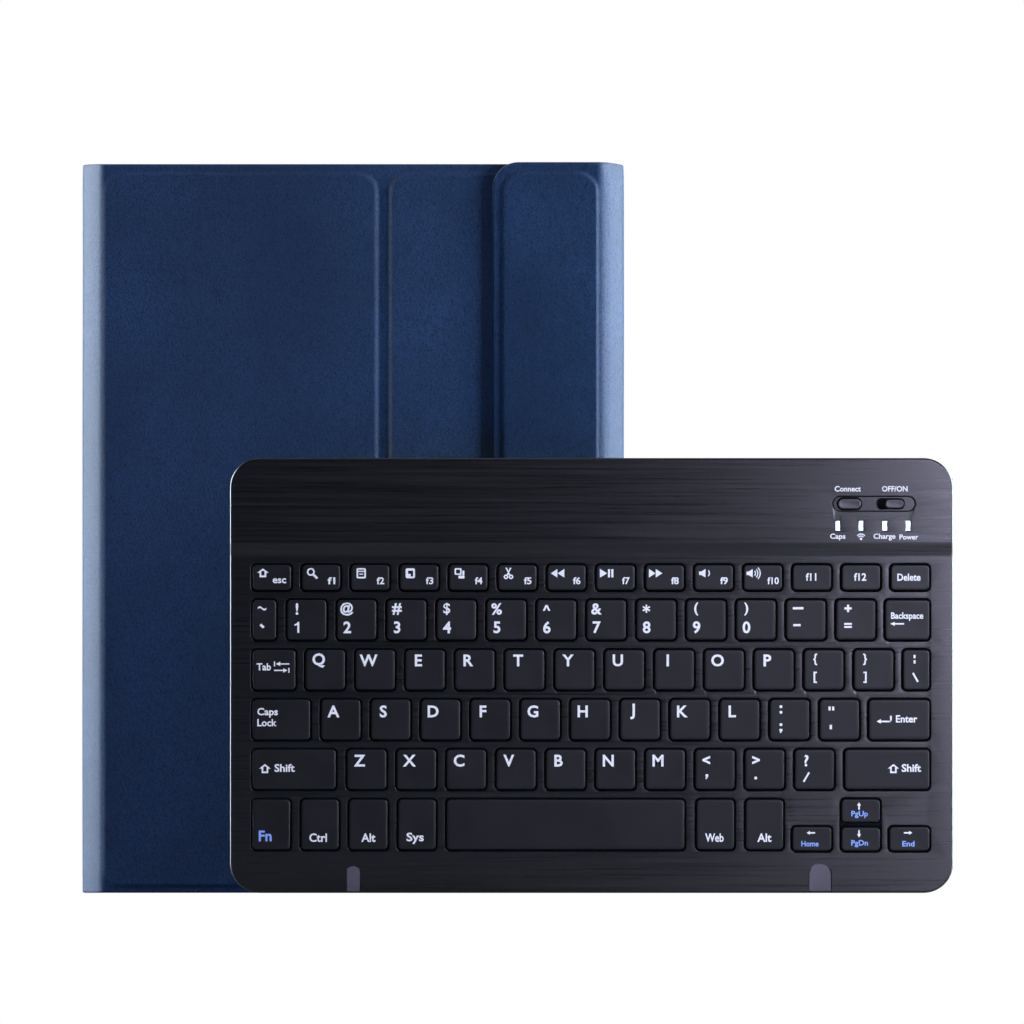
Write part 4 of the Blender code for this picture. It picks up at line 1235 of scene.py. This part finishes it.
# band
text("keyboard", "Connect", 210.2, 137.5, 1.75, 8.9, bold=0.022, on_band=True)
text("keyboard", "OFF/ON", 226.2, 137.5, 1.75, 8.7, bold=0.022, on_band=True)
text("keyboard", "Caps", 206.8, 121.1, 1.65, 5.2, bold=0.022, on_band=True)
text("keyboard", "Charge", 222.7, 121.1, 1.65, 7.5, bold=0.022, on_band=True)
text("keyboard", "Power", 231.0, 121.1, 1.65, 6.4, bold=0.022, on_band=True)
icon("keyboard", [circle(0, -0.55, 0.42, 14), band_arc(0, -0.55, 0.98, 0.34, 35, 145, 8), band_arc(0, -0.55, 1.66, 0.34, 38, 142, 8)], 214.7, 121.0, on_band=True)


def make_marks():
    """prints every legend as a thin closed slab, one piece for each body and ink"""
    made = []
    ruler = bpy.data.curves.new("ruler", "FONT")
    ruler.body = "H"
    ruler_obj = bpy.data.objects.new("ruler", ruler)
    scene.collection.objects.link(ruler_obj)
    for body, ink, kind, data, u, v, cap, width, on_band in marks:
        if kind == "text":
            cu = bpy.data.curves.new("mark", "FONT")
            cu.body, cu.offset = data
            cu.resolution_u = 3
            cu.extrude = 0.01
        else:
            cu = bpy.data.curves.new("mark", "CURVE")
            cu.dimensions = "2D"
            cu.fill_mode = "BOTH"
            cu.extrude = 0.01
            for loop in data:
                sp = cu.splines.new("POLY")
                sp.points.add(len(loop) - 1)
                for p, (x, y) in zip(sp.points, loop):
                    p.co = (x, y, 0, 1)
                sp.use_cyclic_u = True
        obj = bpy.data.objects.new("mark", cu)
        scene.collection.objects.link(obj)
        made.append(obj)
    bpy.context.view_layer.update()
    dg = bpy.context.evaluated_depsgraph_get()
    tall = max(p.co.y for p in ruler_obj.evaluated_get(dg).to_mesh().vertices)
    groups = {}
    for obj, (body, ink, kind, data, u, v, cap, width, on_band) in zip(made, marks):
        mesh = obj.evaluated_get(dg).to_mesh()
        xs, ys = [p.co.x for p in mesh.vertices], [p.co.y for p in mesh.vertices]
        if kind == "text":
            cx, cy = (min(xs) + max(xs)) / 2, (min(ys) + max(ys)) / 2
            sy = cap / tall
            sx = width / (max(xs) - min(xs)) if width else sy
        else:
            cx = cy = 0.0
            sx = sy = 1.0
        top, root = (-0.02, 0.2) if on_band else (INK_TOP, INK_ROOT)
        bm = groups.setdefault((body, ink), bmesh.new())
        part = bmesh.new()
        part.from_mesh(mesh)
        for p in part.verts:
            p.co = K(u + (p.co.x - cx) * sx, v + (p.co.y - cy) * sy, top if p.co.z > 0 else root)
        bmesh.ops.remove_doubles(part, verts=part.verts, dist=1e-6)
        tmp = bpy.data.meshes.new("tmp")
        part.to_mesh(tmp)
        part.free()
        bm.from_mesh(tmp)
        bpy.data.meshes.remove(tmp)
        obj.evaluated_get(dg).to_mesh_clear()
    for obj in [*made, ruler_obj]:
        bpy.data.objects.remove(obj, do_unlink=True)
    for (body, ink), bm in groups.items():
        obj = finish_mesh(f"legend_{ink}_{body}", bm, [WHITE if ink == "white" else BLUE], weld=0, sharp=30)
        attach(obj, body)


make_marks()

# ================================================================ CAD nodes that stay
FINISH = {
    "board": BOARD, "steel": STEEL, "magnet": MAGNET, "circuit_board": PCB, "battery_foil": FOIL,
    "membrane": FILM, "rubber": RUBBER, "light_guide": GUIDE, "keycap": KEYCAP, "case": CASE_BACK,
    "leather": LEATHER, "lining": LINING, "tray": TRAY,
}
for name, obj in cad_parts.items():
    slot_name = obj.data.materials[0].name.split(".")[0] if obj.data.materials else "case"
    finish = CONTROL if name == "power_switch_body" else FINISH.get(slot_name, CASE_BACK)
    if not obj.material_slots:
        obj.data.materials.append(finish)
    for s in obj.material_slots:
        s.material = finish

# ================================================================ stage, light, camera
floor_mesh = bpy.data.meshes.new("floor")
fb = bmesh.new()
bmesh.ops.create_grid(fb, x_segments=1, y_segments=1, size=60.0)
fb.to_mesh(floor_mesh)
fb.free()
floor = bpy.data.objects.new("floor", floor_mesh)
floor.location = (0, 0, -0.0003)
scene.collection.objects.link(floor)
g = Graph("pale_floor", (0.10, 0.10, 0.103), 0.9, Specular_IOR_Level=0.1)
g.shader.inputs["Emission Color"].default_value = (1, 1, 1, 1)
g.shader.inputs["Emission Strength"].default_value = 0.0
out = g.tree.nodes["Material Output"]
glow = g.node("ShaderNodeEmission")
glow.inputs["Strength"].default_value = 1.0
mix = g.node("ShaderNodeMixShader")
ray = g.node("ShaderNodeLightPath")
g.link(ray.outputs["Is Camera Ray"], mix.inputs[0])
g.link(g.shader.outputs[0], mix.inputs[1])
g.link(glow.outputs[0], mix.inputs[2])
g.link(mix.outputs[0], out.inputs["Surface"])
floor_mesh.materials.append(g.mat)

world = bpy.data.worlds.new("studio")
scene.world = world
world.use_nodes = True
wt = world.node_tree
wt.nodes.clear()
w_out = wt.nodes.new("ShaderNodeOutputWorld")
w_mix = wt.nodes.new("ShaderNodeMixShader")
w_dim = wt.nodes.new("ShaderNodeBackground")
w_dim.inputs["Color"].default_value = (0.78, 0.85, 1.0, 1)
w_dim.inputs["Strength"].default_value = 0.024
w_white = wt.nodes.new("ShaderNodeBackground")
w_white.inputs["Color"].default_value = (1, 1, 1, 1)
w_white.inputs["Strength"].default_value = 1.0
w_ray = wt.nodes.new("ShaderNodeLightPath")
wt.links.new(w_ray.outputs["Is Camera Ray"], w_mix.inputs[0])
wt.links.new(w_dim.outputs[0], w_mix.inputs[1])
wt.links.new(w_white.outputs[0], w_mix.inputs[2])
wt.links.new(w_mix.outputs[0], w_out.inputs["Surface"])


def card(name, place, aim, wide, tall, radiance, tint=(1, 1, 1), glossy=True):
    """soft rectangular light; radiance is its brightness"""
    data = bpy.data.lights.new(name, "AREA")
    data.shape = "RECTANGLE"
    data.size, data.size_y = wide, tall
    data.energy = radiance * math.pi * wide * tall
    data.color = tint
    lamp = bpy.data.objects.new(name, data)
    lamp.location = place
    lamp.rotation_mode = "QUATERNION"
    lamp.rotation_quaternion = (Vector(aim) - Vector(place)).to_track_quat("-Z", "Y")
    lamp.visible_camera = False
    lamp.visible_glossy = glossy
    scene.collection.objects.link(lamp)
    return lamp


def lights_only(lamp, objects, state, shadows=False):
    """restrict what a lamp falls on, and what casts shadows from it"""
    group = bpy.data.collections.new("of_" + lamp.name)
    for obj in objects:
        group.objects.link(obj)
    for item in group.collection_objects:
        item.light_linking.link_state = state
    lamp.light_linking.receiver_collection = group
    if shadows:
        lamp.light_linking.blocker_collection = group


KEYBOARD_SET = [o for o in scene.objects if o.type == "MESH" and o.name.startswith(("keyboard_case", "caps_", "legend_", "connect_button_cap", "power_switch_slider"))]
COOL = (0.74, 0.88, 1.0)
card("side_left", (-1.15, 0.25, 0.25), (0, 0.25, 0.25), 0.44, 1.3, 67.0, COOL)
card("side_right", (1.15, 0.25, 0.25), (0, 0.25, 0.25), 0.44, 1.3, 62.0, COOL)
lamp = card("graze_left", (-1.1, -0.20, 0.30), (0, 0.02, 0.15), 0.15, 1.2, 54.0, COOL)
lights_only(lamp, [front, spine, spine_back], "INCLUDE")
card("graze_right", (1.1, -0.18, 0.30), (0, 0.02, 0.15), 0.15, 1.2, 54.0, COOL)
lamp = card("key_folio", (1.9, -1.9, 1.0), (0, 0, 0.12), 0.7, 0.8, 0.8, (1.0, 0.99, 1.0), glossy=False)
lights_only(lamp, KEYBOARD_SET, "EXCLUDE", shadows=True)
lamp = card("key_keyboard", (-0.22, -2.4, 1.10), (0, 0, 0.12), 1.0, 0.9, 3.6, (1.0, 0.97, 1.0), glossy=False)
lights_only(lamp, KEYBOARD_SET, "INCLUDE")
lamp = card("near_right", (0.222, -0.60, 0.20), (0.12, -0.04, 0.12), 0.07, 0.16, 56.0, (0.74, 0.73, 1.0))
lights_only(lamp, KEYBOARD_SET, "INCLUDE")
lamp = card("flap_side", (0.38, -0.14, 0.24), (0.05, 0.02, 0.17), 0.10, 0.20, 140.0, (0.85, 0.95, 1.0), glossy=False)
lights_only(lamp, KEYBOARD_SET, "EXCLUDE")
lamp = card("low_left", (-0.5, -0.55, 0.03), (-0.10, 0, 0.03), 0.25, 0.12, 60.0, (0.10, 0.50, 1.0), glossy=False)
lights_only(lamp, KEYBOARD_SET, "EXCLUDE")
card("above", (0.05, -0.25, 1.7), (0, 0, 0.2), 1.4, 0.45, 3.0, COOL)
card("rear", (0.0, 1.6, 1.0), (0, 0, 0.1), 1.8, 1.2, 1.9)

cam_data = bpy.data.cameras.new("camera")
cam = bpy.data.objects.new("camera", cam_data)
scene.collection.objects.link(cam)
scene.camera = cam
cam_data.sensor_width = 36.0
cam_data.lens = 671.7
cam_data.clip_start, cam_data.clip_end = 0.5, 120.0
cam.location = (-0.0012, -6.5399, 0.004)
cam.rotation_mode = "QUATERNION"
cam.rotation_quaternion = (Vector((-0.0012, -0.0399, 0.1296)) - cam.location).to_track_quat("-Z", "Y")

scene.view_settings.view_transform = "Standard"
scene.view_settings.look = "None"
scene.view_settings.exposure = 0.0
scene.view_settings.gamma = 1.0

bpy.context.view_layer.update()
